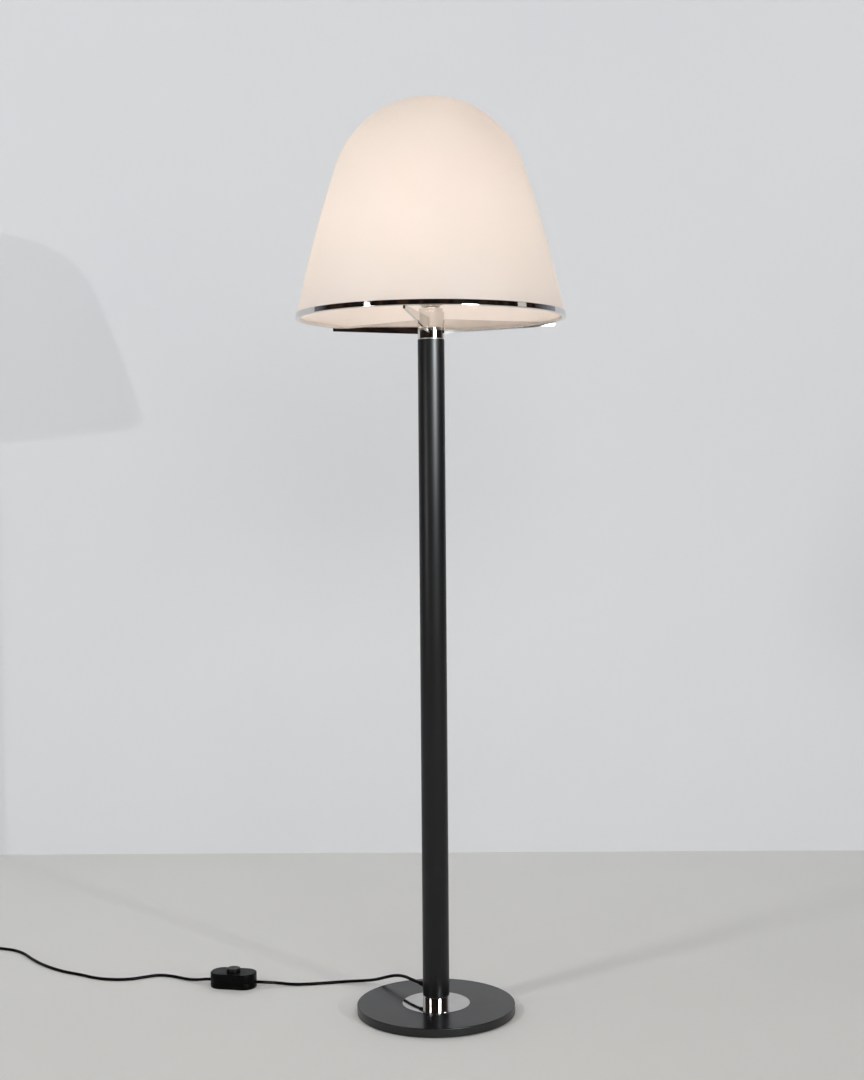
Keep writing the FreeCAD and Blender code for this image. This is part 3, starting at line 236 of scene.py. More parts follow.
def plated_chrome(name="plated_chrome", shade="#d6d4d1", rough=(0.03, 0.07), waviness=0.012):
    """Bright chrome on polished steel: mirror gloss, slight waves from polishing, wiped haze."""
    material, tree, surface = blank_material(name, Metallic=1.0)
    haze = object_grain(tree, 30.0, 5.0, (1.0, 1.0, 0.35), 0.65)
    waves = object_grain(tree, 45.0, 1.0)
    finish_skin(tree, surface, (haze, shade, "#dedcd9"), (haze, *rough), (waves, waviness))
    return material


def polished_disc_steel():
    """Stainless disc, polished on a lathe: mirror gloss with very fine circles round the middle."""
    material, tree, surface = blank_material("polished_disc_steel", Metallic=1.0)
    place = axes(tree)
    flat = add_node(tree, "ShaderNodeCombineXYZ", {"X": place["X"], "Y": place["Y"]})
    radius = add_node(tree, "ShaderNodeVectorMath", {0: flat.outputs["Vector"]}, operation="LENGTH")
    # Polishing lines a few hundredths of a millimetre wide are drawn 0.6 mm wide so that they show.
    line_mm = 0.625
    inputs = {"W": radius.outputs["Value"], "Scale": 1000.0 / line_mm, "Detail": 3.0}
    lines = add_node(tree, "ShaderNodeTexNoise", inputs, noise_dimensions="1D").outputs["Fac"]
    haze = object_grain(tree, 22.0, 4.0)
    finish_skin(tree, surface, (haze, "#bcbbba", "#c4c3c2"), (lines, 0.04, 0.09), (lines, 0.0006))
    return material


def opal_acrylic():
    """Blown opal acrylic, cream, satin outside: some light scatters back, some comes through."""
    material, tree, surface = blank_material("opal_acrylic", IOR=1.49, Specular_IOR_Level=0.4)
    cloud = object_grain(tree, 260.0, 2.0)
    ripple = object_grain(tree, 90.0, 1.0)
    smear = object_grain(tree, 40.0, 4.0)
    finish_skin(tree, surface, (cloud, "#fbf6f2", "#fcf8f5"), (smear, 0.34, 0.44), (ripple, 0.08))
    inputs = {"Color": source_of(surface, "Base Color"), "Normal": source_of(surface, "Normal")}
    through = add_node(tree, "ShaderNodeBsdfTranslucent", inputs)
    blend = {0: OPAL_THROUGH, 1: surface.outputs["BSDF"], 2: through.outputs["BSDF"]}
    show(tree, add_node(tree, "ShaderNodeMixShader", blend).outputs["Shader"])
    return material


def turned_aluminium():
    """Aluminium straight from the lathe: satin, with fine feed lines across the axis."""
    material, tree, surface = blank_material("turned_aluminium", Metallic=1.0)
    # Feed lines of 0.15 mm, drawn at 0.4 mm.
    line_mm = 0.4
    inputs = {"W": axes(tree)["Z"], "Scale": 1000.0 / line_mm, "Detail": 2.0}
    lines = add_node(tree, "ShaderNodeTexNoise", inputs, noise_dimensions="1D").outputs["Fac"]
    finish_skin(tree, surface, (lines, "#b4b4b5", "#c8c8c8"), (lines, 0.25, 0.38), (lines, 0.006))
    return material


def worn_skin(name, tones, rough, wear_mm, grain_mm, depth_mm, gloss=0.09, ior=1.45):
    """Dark plastic: rubbed spots change its tone and gloss, a fine grain gives its relief."""
    material, tree, surface = blank_material(name, IOR=ior, Specular_IOR_Level=gloss)
    grain = object_grain(tree, grain_mm, 2.0)
    wear = object_grain(tree, wear_mm, 4.0)
    finish_skin(tree, surface, (wear, *tones), (wear, *rough), (grain, depth_mm))
    return material


def moulded_black(name, dark, light, rough, grain_mm, depth_mm, gloss=0.09):
    """Black plastic from a mould: a fine even texture with a low sheen, a little dust on top."""
    return worn_skin(name, (dark, light), rough, 18.0, grain_mm, depth_mm, gloss=gloss)


def woven_strap():
    """Black nylon tape, woven and napped: matt, with a fine thread and paler rubbed loops."""
    material, tree, surface = blank_material("woven_strap", IOR=1.5, Specular_IOR_Level=0.2)
    thread = object_grain(tree, 0.7, 3.0)
    rub = object_grain(tree, 6.0, 3.0)
    finish_skin(tree, surface, (rub, "#080808", "#121212"), (thread, 0.72, 0.9), (thread, 0.12))
    return material


LACQUER = lacquered_steel(drawn=0.63)
PLATE_LACQUER = lacquered_steel("lacquered_plate_steel", 1.35, (0.21, 0.27))
EDGE_LACQUER = lacquered_steel("lacquered_plate_edge", 1.52, (0.3, 0.36))
CHROME = plated_chrome()
RING_CHROME = plated_chrome("plated_ring_chrome", "#d2d0ce", (0.02, 0.05), 0.03)
DISC_STEEL = polished_disc_steel()
OPAL = opal_acrylic()
ALUMINIUM = turned_aluminium()
STRAP_NYLON = woven_strap()
# Zinc-plated steel fasteners: pale grey with a bluish bloom.
ZINC = grained(
    "zinc_plated_steel", (3.0, 4.0), ("#a9adb2", "#c3c4c2"), (0.28, 0.42), 0.01, Metallic=1.0
)
# Plain stamped brass, slightly dulled.
BRASS = grained(
    "stamped_brass", (6.0, 4.0), ("#a9854a", "#cfae6b"), (0.22, 0.4), 0.01, Metallic=1.0
)
# The bulb's rolled aluminium cap: bright, with a soft grain round it.
BULB_SHELL = grained(
    "rolled_aluminium", (2.0, 3.0, (1.0, 1.0, 6.0)), ("#c4c4c2", "#d6d6d4"), (0.22, 0.34),
    Metallic=1.0,
)
# Bulb glass frosted inside and lit: even warm white, with a satin skin.
BULB_GLASS = grained(
    "frosted_lit_glass", (0.8, 3.0), ("#efece5", "#f7f5ef"), (0.25, 0.4), IOR=1.5,
    Emission_Color=linear("#ffecda"), Emission_Strength=37.5,
)
# White glazed porcelain: glassy, with a faint unevenness.
PORCELAIN = grained(
    "glazed_porcelain", (12.0, 2.0), ("#e6e1d8", "#efebe3"), (0.1, 0.18), 0.02, IOR=1.5
)
# Dark pressed wool felt, matt. Its fibres of 0.02 mm are drawn as clumps of 0.7 mm.
FELT = grained(
    "pressed_felt", (0.7, 5.0, (1.0, 1.6, 1.0), 0.7), ("#141414", "#2c2b2a"), (0.85, 0.98), 0.15,
    IOR=1.4, Sheen_Weight=0.4, Sheen_Roughness=0.5,
)
# Brown PVC, extruded on the wires: plain and glossy.
SLEEVE = grained("extruded_wire_pvc", (5.0, 2.0), ("#4a2e1a", "#5a3820"), (0.3, 0.4), IOR=1.5)
# Round vinyl mains cord: black and satin, with a faint skin and rubbed spots.
VINYL = worn_skin("vinyl_cord", ("#030303", "#060606"), (0.32, 0.46), 14.0, 1.2, 0.008, ior=1.52)
# Pressed and moulded plastics, from glossy phenolic to soft matt PVC, and the bulb's dark glaze.
PHENOLIC = moulded_black("pressed_phenolic", "#0c0b0b", "#161413", (0.18, 0.28), 3.0, 0.006, 0.5)
ABS = moulded_black("moulded_abs", "#040404", "#080808", (0.3, 0.4), 0.9, 0.01)
BUTTON_ABS = moulded_black(
    "moulded_button_abs", "#0c0b0b", "#121111", (0.3, 0.38), 1.4, 0.006, 0.24
)
SOFT_PVC = moulded_black("moulded_soft_pvc", "#070707", "#0c0c0c", (0.4, 0.52), 1.6, 0.012)
DARK_GLAZE = moulded_black(
    "vitrified_insulator", "#0b0b10", "#17171d", (0.1, 0.18), 4.0, 0.004, 0.5
)

NODE_FINISHES = {
    "base_felt": FELT, "base_plate": PLATE_LACQUER, "base_disc": DISC_STEEL, "base_collar": CHROME,
    "base_washer": ZINC, "base_nut": ZINC, "tie_rod": ZINC, "pole_tube": LACQUER,
    "cord_gland": SOFT_PVC, "inner_cable": VINYL, "hub_core": ALUMINIUM, "hub_tube": CHROME,
    "hub_washer": ZINC, "hub_nut": ZINC, "arm_right": CHROME, "arm_left": CHROME,
    "arm_front": CHROME, "arm_clamp_plate": ZINC, "clamp_screws": ZINC, "hub_cap": CHROME,
    "holder_nipple": ZINC, "holder_cap": CHROME, "holder_locknut": ZINC,
    "holder_insert": PORCELAIN, "holder_contact": BRASS, "holder_thread": BRASS,
    "holder_skirt": PHENOLIC, "holder_wires": SLEEVE, "bulb_contact": BRASS,
    "bulb_insulator": DARK_GLAZE, "bulb_cap": BULB_SHELL, "bulb_glass": BULB_GLASS,
    "shade_dome": OPAL, "rim_ring": RING_CHROME, "switch_base": ABS, "switch_cover": ABS,
    "switch_screws": ZINC, "switch_block": PHENOLIC, "switch_button": BUTTON_ABS,
    "switch_spring": ZINC, "plug_body": SOFT_PVC, "plug_pins": BRASS, "cord_to_switch": VINYL,
    "cord_to_coil": VINYL, "cord_coil": VINYL, "cord_to_plug": VINYL, "cord_tie": STRAP_NYLON,
}


def finish_nodes():
    """Gives every carried-over node its material."""
    for name, node in NODES.items():
        node.data.materials.clear()
        node.data.materials.append(NODE_FINISHES[name])


# ---- cords ----

LAMP_CORD = [
    (-30.8, 39.4, 43.0), (-46.8, 59.9, 43.0), (-61.0, 85.0, 42.0), (-79.5, 106.0, 37.5),
    (-99.0, 121.0, 29.0), (-120.0, 142.0, 17.5), (-146.0, 167.0, 8.0), (-178.0, 178.5, 3.4),
    (-214.0, 172.5, 3.0), (-252.0, 164.5, 3.0), (-287.0, 161.5, 3.4), (-318.0, 165.5, 6.0),
    (-337.0, 156.5, 9.6), (-350.6, 154.9, 11.0), (-362.4, 157.4, 11.0),
]
MAINS_CORD = [
    (-442.6, 174.4, 11.0), (-456.4, 177.4, 11.0), (-477.0, 185.0, 7.0), (-500.0, 198.0, 4.0),
    (-530.0, 222.0, 3.0), (-563.0, 233.0, 3.0), (-590.0, 219.0, 3.0), (-617.0, 204.5, 3.0),
    (-652.0, 203.0, 3.0), (-688.0, 213.5, 3.0), (-722.0, 237.5, 3.0), (-756.0, 255.0, 3.0),
    (-787.0, 278.5, 3.0), (-820.0, 310.5, 3.0), (-851.0, 350.0, 3.0), (-877.0, 390.5, 3.0),
    (-904.0, 416.0, 3.0), (-935.0, 428.5, 3.0), (-968.0, 438.5, 3.0),
]
PLUG_CORD = [
    (-1035.0, 389.4, 8.6), (-1039.0, 369.0, 7.0), (-1042.5, 355.0, 7.0),
]


def coil_points():
    """Five and a quarter turns, wound inwards on the floor and outwards on top of themselves."""
    radii = [33.0, 33.5, 36.0, 39.0, 38.5, 33.0, 27.2, 27.0, 33.0, 39.0, 36.5, 33.0]
    levels = [CORD_RADIUS] * 7 + [3 * CORD_RADIUS] * 5
    turns = 5.25
    points_a_turn = 14
    start_angle = 90.0
    count = int(points_a_turn * turns)
    points = []
    for k in range(count + 1):
        part = k / count
        spot = part * (len(radii) - 1)
        low = min(int(spot), len(radii) - 2)
        share = spot - low
        radius = radii[low] * (1 - share) + radii[low + 1] * share
        level = levels[low] * (1 - share) + levels[low + 1] * share
        angle = math.radians(start_angle + 360.0 * turns * part)
        x = COIL_PLACE[0] + radius * math.cos(angle)
        y = COIL_PLACE[1] + radius * math.sin(angle)
        points.append((x, y, level))
    return points


def lay_cord(name, points):
    """A round cord on a smooth NURBS line through the room, points in millimetres."""
    curve = bpy.data.curves.new(name, "CURVE")
    curve.dimensions = "3D"
    spline = curve.splines.new("NURBS")
    spline.points.add(len(points) - 1)
    for point, spot in zip(spline.points, points):
        point.co = (*(value * MM for value in spot), 1.0)
    spline.order_u = 3
    spline.use_endpoint_u = True
    spline.resolution_u = 8
    curve.bevel_depth = CORD_RADIUS * MM
    curve.bevel_resolution = 4
    curve.use_fill_caps = True
    curve.materials.append(VINYL)
    cord = bpy.data.objects.new(name, curve)
    SCENE.collection.objects.link(cord)
    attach(cord, "lamp")
    return cord


# ---- shapes ----


def link_piece(name, mesh, body, smooth_angle):
    """Smooths a mesh up to an angle and links it as a piece that rides on a body."""
    mesh.shade_smooth()
    mesh.set_sharp_from_angle(angle=math.radians(smooth_angle))
    piece = bpy.data.objects.new(name, mesh)
    SCENE.collection.objects.link(piece)
    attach(piece, body)
    return piece


def keep_mesh(name, maker, material, body, smooth_angle=35.0):
    """Links a finished bmesh as a piece of one material."""
    mesh = bpy.data.meshes.new(name)
    maker.to_mesh(mesh)
    maker.free()
    mesh.materials.append(material)
    return link_piece(name, mesh, body, smooth_angle)


def round_corners(outline):
    """Rounds the corners of a closed outline of (x, y, radius), a guard point beside each arc."""
    points = []
    for k, (x, y, radius) in enumerate(outline):
        corner = Vector((x, y))
        if radius <= 0:
            points.append((x, y))
            continue
        back = Vector(outline[k - 1][:2]) - corner
        ahead = Vector(outline[(k + 1) % len(outline)][:2]) - corner
        turn = math.pi - back.angle(ahead)
        cut = radius * math.tan(turn / 2)
        back.normalize()
        ahead.normalize()
        guard = min(cut * 0.15, 0.2)
        start = corner + back * cut
        end = corner + ahead * cut
        centre = corner + (back + ahead).normalized() * math.hypot(cut, radius)
        points.append(tuple(start + back * guard))
        steps = max(2, round(math.degrees(turn) / 18))
        first = start - centre
        sweep = first.angle_signed(end - centre)
        for step in range(steps + 1):
            spin = Matrix.Rotation(-sweep * step / steps, 2)
            points.append(tuple(centre + spin @ first))
        points.append(tuple(end + ahead * guard))
    return points


def add_ring(maker, spots):
    """Adds a vertex at each spot, given in millimetres."""
    return [maker.verts.new((x * MM, y * MM, z * MM)) for x, y, z in spots]


def join_rings(maker, rings, closed=False):
    """Fills the bands between rings of vertices; a ring of one vertex makes a fan."""
    pairs = list(zip(rings, rings[1:]))
    if closed:
        pairs.append((rings[-1], rings[0]))
    for low, high in pairs:
        count = max(len(low), len(high))
        for k in range(count if count > 1 else 0):
            after = (k + 1) % count
            if len(low) == 1:
                corners = (low[0], high[after], high[k])
            elif len(high) == 1:
                corners = (low[k], low[after], high[0])
            else:
                corners = (low[k], low[after], high[after], high[k])
            maker.faces.new(corners)


def turned_mesh(outline, steps=160, closed=True, centre=(0.0, 0.0)):
    """Turns an outline of (radius, height) in millimetres about an upright axis."""
    maker = bmesh.new()
    rings = []
    for radius, height in outline:
        count = 1 if radius < 1e-6 else steps
        angles = [2 * math.pi * k / steps for k in range(count)]
        rings.append(add_ring(maker, [
            (centre[0] + radius * math.cos(angle), centre[1] + radius * math.sin(angle), height)
            for angle in angles
        ]))
    join_rings(maker, rings, closed)
    bmesh.ops.recalc_face_normals(maker, faces=maker.faces)
    return maker


def turned_piece(name, outline, material, node, body="lamp", steps=160):
    """A turned piece with rounded corners that stands for a node."""
    maker = turned_mesh(round_corners(outline), steps)
    piece = keep_mesh(name, maker, material, body)
    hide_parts(node)
    return piece


# ---- base and pole ----

PLATE_FOOT = PLATE_TOP - 16.0
PLATE_RADIUS = 149.0
DISC_RADIUS = 63.5


def dress_base():
    """Lacquered plate, polished disc let into it, and the plated collar under the pole."""
    well_radius = 18.0
    well_top = PLATE_FOOT + 9.0
    disc_seat = PLATE_TOP - 1.0
    recess_radius = DISC_RADIUS + 0.1
    plate = [
        (well_radius, PLATE_FOOT, 0.3), (PLATE_RADIUS, PLATE_FOOT, 0.8),
        (PLATE_RADIUS, PLATE_TOP, 1.5), (recess_radius, PLATE_TOP, 0.2),
        (recess_radius, disc_seat, 0), (ROD_HOLE, disc_seat, 0.2), (ROD_HOLE, well_top, 0.2),
        (well_radius, well_top, 0.3),
    ]
    piece = turned_piece(
        "lacquered_plate", plate, PLATE_LACQUER, "base_plate", steps=256
    )
    # Lacquer runs thicker on an upright turned edge, which gives back more of the floor's light.
    piece.data.materials.append(EDGE_LACQUER)
    for face in piece.data.polygons:
        face.material_index = int(abs(face.normal.z) < 0.5)
    disc = [
        (ROD_HOLE, disc_seat, 0), (DISC_RADIUS, disc_seat, 0), (DISC_RADIUS, DISC_TOP, 0.35),
        (ROD_HOLE, DISC_TOP, 0.2),
    ]
    turned_piece("polished_disc", disc, DISC_STEEL, "base_disc", steps=256)
    spigot_radius, throat_radius = 22.9, 17.9
    spigot_top = POLE_FOOT + 26.0
    land = POLE_FOOT - 0.8
    collar = [
        (ROD_HOLE, DISC_TOP, 0), (POLE_RADIUS - 0.2, DISC_TOP, 0.15),
        (POLE_RADIUS, DISC_TOP + 0.6, 0.3), (POLE_RADIUS, POLE_FOOT, 0.6),
        (spigot_radius, POLE_FOOT, 0), (spigot_radius, spigot_top, 0),
        (throat_radius, spigot_top, 0), (throat_radius, land, 0), (ROD_HOLE, land, 0),
    ]
    turned_piece("plated_collar", collar, CHROME, "base_collar")


def dress_pole():
    """The tube is one long turned wall, its lacquer drawn a hair over both ends."""
    bore = POLE_RADIUS - 2.0
    pole = [
        (bore, POLE_FOOT, 0.1), (POLE_RADIUS, POLE_FOOT, 0.35), (POLE_RADIUS, POLE_TOP, 0.35),
        (bore, POLE_TOP, 0.1),
    ]
    turned_piece("lacquered_pole", pole, LACQUER, "pole_tube", steps=192)


def strain_relief():
    """Soft moulded sleeve with slits between its ribs, along the cord's way out of the pole."""
    bore, flange, neck = 3.1, 6.5, 5.0
    outline = [
        (bore, 18.4, 0), (flange, 18.4, 0.4), (flange, 20.9, 0.4), (neck, 20.9, 0.2),
        (neck, 24.1, 0.2), (flange, 24.1, 0.5), (flange, 26.0, 0.8), (5.4, 27.2, 0.3),
    ]
    ribs, pitch, taper, slit = 6, 3.4, 0.21, 0.9
    for k in range(ribs):
        start = 27.6 + pitch * k
        size = 5.2 - taper * k
        outline += [
            (size - slit, start, 0.1), (size - slit, start + 0.7, 0.1), (size, start + 0.8, 0.25),
            (size - 0.15, start + 3.2, 0.25),
        ]
    outline += [(3.9, 48.4, 0.1), (3.8, 50.0, 0.5), (bore, 50.0, 0)]
    maker = turned_mesh(round_corners(outline), 48)
    lean = Matrix.Rotation(math.radians(90.0), 4, "Y")
    turn = Matrix.Rotation(math.radians(EXIT_TURN), 4, "Z")
    lift = Matrix.Translation((0.0, 0.0, EXIT_HEIGHT * MM))
    bmesh.ops.transform(maker, matrix=lift @ turn @ lean, verts=maker.verts)
    piece = keep_mesh("ribbed_strain_relief", maker, SOFT_PVC, "lamp")
    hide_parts("cord_gland")


# ---- hub and arms ----


def dress_hub():
    """Plated tube on the pole's end, and the cap that closes it under the lampholder."""
    bore = 22.0
    foot = POLE_TOP + 1.2
    tube = [
        (bore, foot, 0), (POLE_RADIUS, foot, 0.5), (POLE_RADIUS, HUB_TOP, 0.7), (bore, HUB_TOP, 0),
    ]
    turned_piece("plated_hub", tube, CHROME, "hub_tube")
    lip_inside, lip_outside, cap_radius = 19.0, 21.9, 22.3
    lip_foot = HUB_TOP - 3.0
    cap = [
        (NIPPLE_HOLE, HUB_TOP, 0), (lip_inside, HUB_TOP, 0), (lip_inside, lip_foot, 0),
        (lip_outside, lip_foot, 0), (lip_outside, HUB_TOP, 0), (cap_radius, HUB_TOP + 0.1, 0),
        (cap_radius, CAP_TOP, 1.0), (NIPPLE_HOLE, CAP_TOP, 0.2),
    ]
    turned_piece("plated_cap", cap, CHROME, "hub_cap")


def dress_arms():
    """Three plates cut from 4 mm sheet, their edges broken by polishing before plating."""
    sheet = 4.0
    # Along the arm from the lamp's axis, then up or down from the rim of the shade.
    root, hub_face, notch, tip = 14.0, POLE_RADIUS, 241.2, 251.0
    deep, shallow, step = -26.0, -6.0, 1.0
    outline = [
        (root, deep), (hub_face, deep), (tip, shallow), (tip, 0.0), (notch, 0.0), (notch, step),
        (root, step),
    ]
    # The left arm's edges are smoothed further, so that its side darkens towards the tip.
    arms = (("arm_right", 0.0, 12.0), ("arm_left", 120.0, 20.0), ("arm_front", 240.0, 12.0))
    for name, turn, smooth_angle in arms:
        maker = bmesh.new()
        corners = add_ring(maker, [(x, -sheet / 2, RIM + z) for x, z in outline])
        grown = bmesh.ops.extrude_face_region(maker, geom=[maker.faces.new(corners)])
        moved = [item for item in grown["geom"] if isinstance(item, bmesh.types.BMVert)]
        bmesh.ops.translate(maker, vec=(0.0, sheet * MM, 0.0), verts=moved)
        bmesh.ops.recalc_face_normals(maker, faces=maker.faces)
        break_edges(maker, list(maker.edges))
        spin = Matrix.Rotation(math.radians(ARM_TURN + turn), 4, "Z")
        bmesh.ops.transform(maker, matrix=spin, verts=maker.verts)
        piece = keep_mesh("plated_" + name, maker, CHROME, "lamp", smooth_angle)
        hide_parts(name)


def break_edges(maker, edges):
    """Rounds edges by a third of a millimetre."""
    bmesh.ops.bevel(
        maker, geom=edges, offset=0.35 * MM, segments=3, profile=0.5, affect="EDGES",
        clamp_overlap=True,
    )


# ---- shade ----

CROWN_RADIUS = 184.0
SIDE_RADIUS = 2650.0
SHADE_TOP = 407.3
RIM_RADIUS = 248.2
SHADE_WALL = 3.0
SKIRT_TOP = 10.0
SKIRT_FOOT = 1.5
RING_INSIDE = 243.24
RING_OUTSIDE = 251.4


def dome_outline():
    """Crown arc, long side arc and short skirt; the same again inside, a wall apart."""
    centre = Vector((0.0, SHADE_TOP - CROWN_RADIUS))
    gap = SIDE_RADIUS - CROWN_RADIUS
    reach = Vector((RIM_RADIUS, SKIRT_TOP)) - centre
    cosine = (SIDE_RADIUS**2 - gap**2 - reach.length**2) / (2 * gap * reach.length)
    lean = math.atan2(reach.y, reach.x) + math.acos(cosine)
    along = Vector((math.cos(lean), math.sin(lean)))
    side_centre = centre - along * gap

    def skin(inset, crown_steps=40, side_steps=36):
        points = []
        radius = CROWN_RADIUS - inset
        for k in range(crown_steps + 1):
            angle = math.pi / 2 + (lean - math.pi / 2) * k / crown_steps
            points.append((radius * math.cos(angle), centre.y + radius * math.sin(angle)))
        points[0] = (0.0, points[0][1])
        radius = SIDE_RADIUS - inset
        foot = math.asin((SKIRT_TOP - side_centre.y) / radius)
        for k in range(1, side_steps + 1):
            angle = lean + (foot - lean) * k / side_steps
            x = side_centre.x + radius * math.cos(angle)
            points.append((x, side_centre.y + radius * math.sin(angle)))
        return points

    outer = skin(0.0)
    inner = skin(SHADE_WALL)
    feet = [(outer[-1][0], SKIRT_FOOT), (inner[-1][0], SKIRT_FOOT)]
    return [(x, RIM + y) for x, y in outer + feet + inner[::-1]]


def dress_shade():
    """Opal dome, and the plated channel round its rim."""
    maker = turned_mesh(dome_outline(), 192, closed=False)
    dome = keep_mesh("opal_dome", maker, OPAL, "shade", 60.0)
    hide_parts("shade_dome")
    lip = RING_INSIDE + 1.5
    ring = [
        (RING_INSIDE, RIM, 0.5), (RING_OUTSIDE, RIM, 1.2), (RING_OUTSIDE - 0.5, RIM + 10.0, 0.4),
        (249.9, RIM + 10.0, 0.3), (249.9, RIM + 1.5, 0), (lip, RIM + 1.5, 0), (lip, RIM + 6.0, 0.4),
        (RING_INSIDE, RIM + 6.0, 0.4),
    ]
    turned_piece("plated_rim", ring, RING_CHROME, "rim_ring", "shade", steps=320)


# ---- lampholder and bulb ----


def dress_lampholder():
    """Plated cap, phenolic skirt, and a fluted grip round the skirt."""
    outside, inside, grip_radius, mouth = 19.0, 16.8, 18.3, 15.2
    joint = CAP_TOP + 16.0
    cap = [
        (NIPPLE_HOLE, CAP_TOP, 0.2), (14.0, CAP_TOP, 1.5), (outside, CAP_TOP + 5.0, 2.5),
        (outside, joint, 0.3), (inside, joint, 0), (inside, CAP_TOP + 6.2, 1.0),
        (12.8, CAP_TOP + 2.2, 1.0), (NIPPLE_HOLE, CAP_TOP + 2.2, 0),
    ]
    turned_piece("plated_holder_cap", cap, CHROME, "holder_cap", steps=128)
    skirt = [
        (inside, joint, 0), (outside, joint, 0.3), (outside, joint + 6.0, 0.2),
        (grip_radius, joint + 6.6, 0.2), (grip_radius, joint + 30.0, 0.2),
        (outside, joint + 30.6, 0.2), (outside, joint + 38.0, 1.0), (mouth, joint + 38.0, 0.4),
        (mouth, joint + 35.8, 0), (inside, joint + 35.8, 0),
    ]
    turned_piece("phenolic_skirt", skirt, PHENOLIC, "holder_skirt", steps=128)
    grip_middle = joint + 18.3
    fluted_grip(height=grip_middle, radius=grip_radius, count=40, width=1.9, length=23.0)


def start_tree(name, sizes):
    """Starts a node tree with an input for each size; gives the tree and its inputs."""
    group = bpy.data.node_groups.new(name, "GeometryNodeTree")
    for label, value in sizes.items():
        kind = "NodeSocketInt" if isinstance(value, int) else "NodeSocketFloat"
        group.interface.new_socket(label, in_out="INPUT", socket_type=kind)
    group.interface.new_socket("Geometry", in_out="OUTPUT", socket_type="NodeSocketGeometry")
    return group, add_node(group, "NodeGroupInput").outputs


def piece_from_tree(name, group, instances, material, sizes):
    """Makes a tree's instances real, runs the tree once and keeps its result as a plain mesh."""
    real = add_node(group, "GeometryNodeRealizeInstances", {"Geometry": instances})
    painted = add_node(
        group,
        "GeometryNodeSetMaterial",
        {"Geometry": real.outputs["Geometry"], "Material": material},
    )
    add_node(group, "NodeGroupOutput", {"Geometry": painted.outputs["Geometry"]})
    holder = bpy.data.objects.new(name + "_maker", bpy.data.meshes.new(name + "_maker"))
    SCENE.collection.objects.link(holder)
    modifier = holder.modifiers.new("maker", "NODES")
    modifier.node_group = group
    for item in group.interface.items_tree:
        if item.item_type == "SOCKET" and item.in_out == "INPUT":
            modifier[item.identifier] = sizes[item.name]
    graph = bpy.context.evaluated_depsgraph_get()
    mesh = bpy.data.meshes.new_from_object(holder.evaluated_get(graph))
    bpy.data.objects.remove(holder)
    mesh.name = name
    return link_piece(name, mesh, "lamp", 40.0)


def fluted_grip(height, radius, count, width, length):
    """Upright ribs round the lampholder, set out by a node tree on a ring of points."""
    sizes = {
        "Ring radius": radius * MM, "Ribs": count, "Rib width": width * MM,
        "Rib length": length * MM, "Height": height * MM,
    }
    group, given = start_tree("grip_ribs", sizes)
    circle = add_node(
        group,
        "GeometryNodeMeshCircle",
        {"Vertices": given["Ribs"], "Radius": given["Ring radius"]},
        fill_type="NONE",
    )
    half = add_node(group, "ShaderNodeMath", {0: given["Rib width"], 1: 0.5}, operation="MULTIPLY")
    rib = add_node(
        group,
        "GeometryNodeMeshCylinder",
        {"Vertices": 8, "Radius": half.outputs["Value"], "Depth": given["Rib length"]},
    )
    soft = add_node(group, "GeometryNodeSetShadeSmooth", {"Geometry": rib.outputs["Mesh"]})
    ribs = add_node(
        group,
        "GeometryNodeInstanceOnPoints",
        {"Points": circle.outputs["Mesh"], "Instance": soft.outputs[0]},
    )
    lift = add_node(group, "ShaderNodeCombineXYZ", {"Z": given["Height"]})
    raised = add_node(
        group,
        "GeometryNodeTransform",
        {"Geometry": ribs.outputs["Instances"], "Translation": lift.outputs["Vector"]},
    )
    piece_from_tree("phenolic_ribs", group, raised.outputs["Geometry"], PHENOLIC, sizes)


def dress_bulb():
    """Pear-shaped bulb: a ball, a soft waist and a neck that goes into the rolled cap."""
    ball, neck = 30.0, 11.0
    centre = BULB_BASE + 80.0
    outline = [(0.0, centre + ball)]
    arc_steps, arc_step = 24, 5.2
    for k in range(1, arc_steps + 1):
        angle = math.radians(90.0 - arc_step * k)
        outline.append((ball * math.cos(angle), centre + ball * math.sin(angle)))
    # The waist is a curve between the end of the ball, along its tangent, and the upright neck.
    top = Vector(outline[-1])
    foot = Vector((neck, BULB_BASE + 24.0))
    reach = (top - foot).length
    first = top + Vector((math.sin(angle), -math.cos(angle))) * reach * 0.45
    second = foot + Vector((0.0, 1.0)) * reach * 0.3
    waist_steps = 12
    for k in range(1, waist_steps + 1):
        t = k / waist_steps
        near, far = top * (1 - t) ** 3, foot * t**3
        point = near + first * 3 * t * (1 - t) ** 2 + second * 3 * t * t * (1 - t) + far
        outline.append(tuple(point))
    outline += [(neck, BULB_BASE + 7.4), (0.0, BULB_BASE + 7.4)]
    maker = turned_mesh(outline, 96, closed=False)
    glass = keep_mesh("frosted_bulb", maker, BULB_GLASS, "bulb", 50.0)
    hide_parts("bulb_glass")
    low = BULB_BASE + 5.0
    outline = [(10.9, low), (12.0, low)]
    waves, wave_steps, pitch = 4, 12, 3.6
    for k in range(waves * wave_steps + 1):
        part = k / wave_steps
        wave = 0.5 - 0.5 * math.cos(2 * math.pi * part)
        outline.append((12.2 + 0.8 * wave**1.4, low + 1.0 + pitch * part))
    outline += [(12.2, low + 19.0), (12.35, low + 21.6), (12.1, low + 22.0), (11.1, low + 22.0)]
    maker = turned_mesh(outline, 96)
    shell = keep_mesh("rolled_bulb_cap", maker, BULB_SHELL, "bulb", 50.0)
    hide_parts("bulb_cap")


# ---- foot switch ----


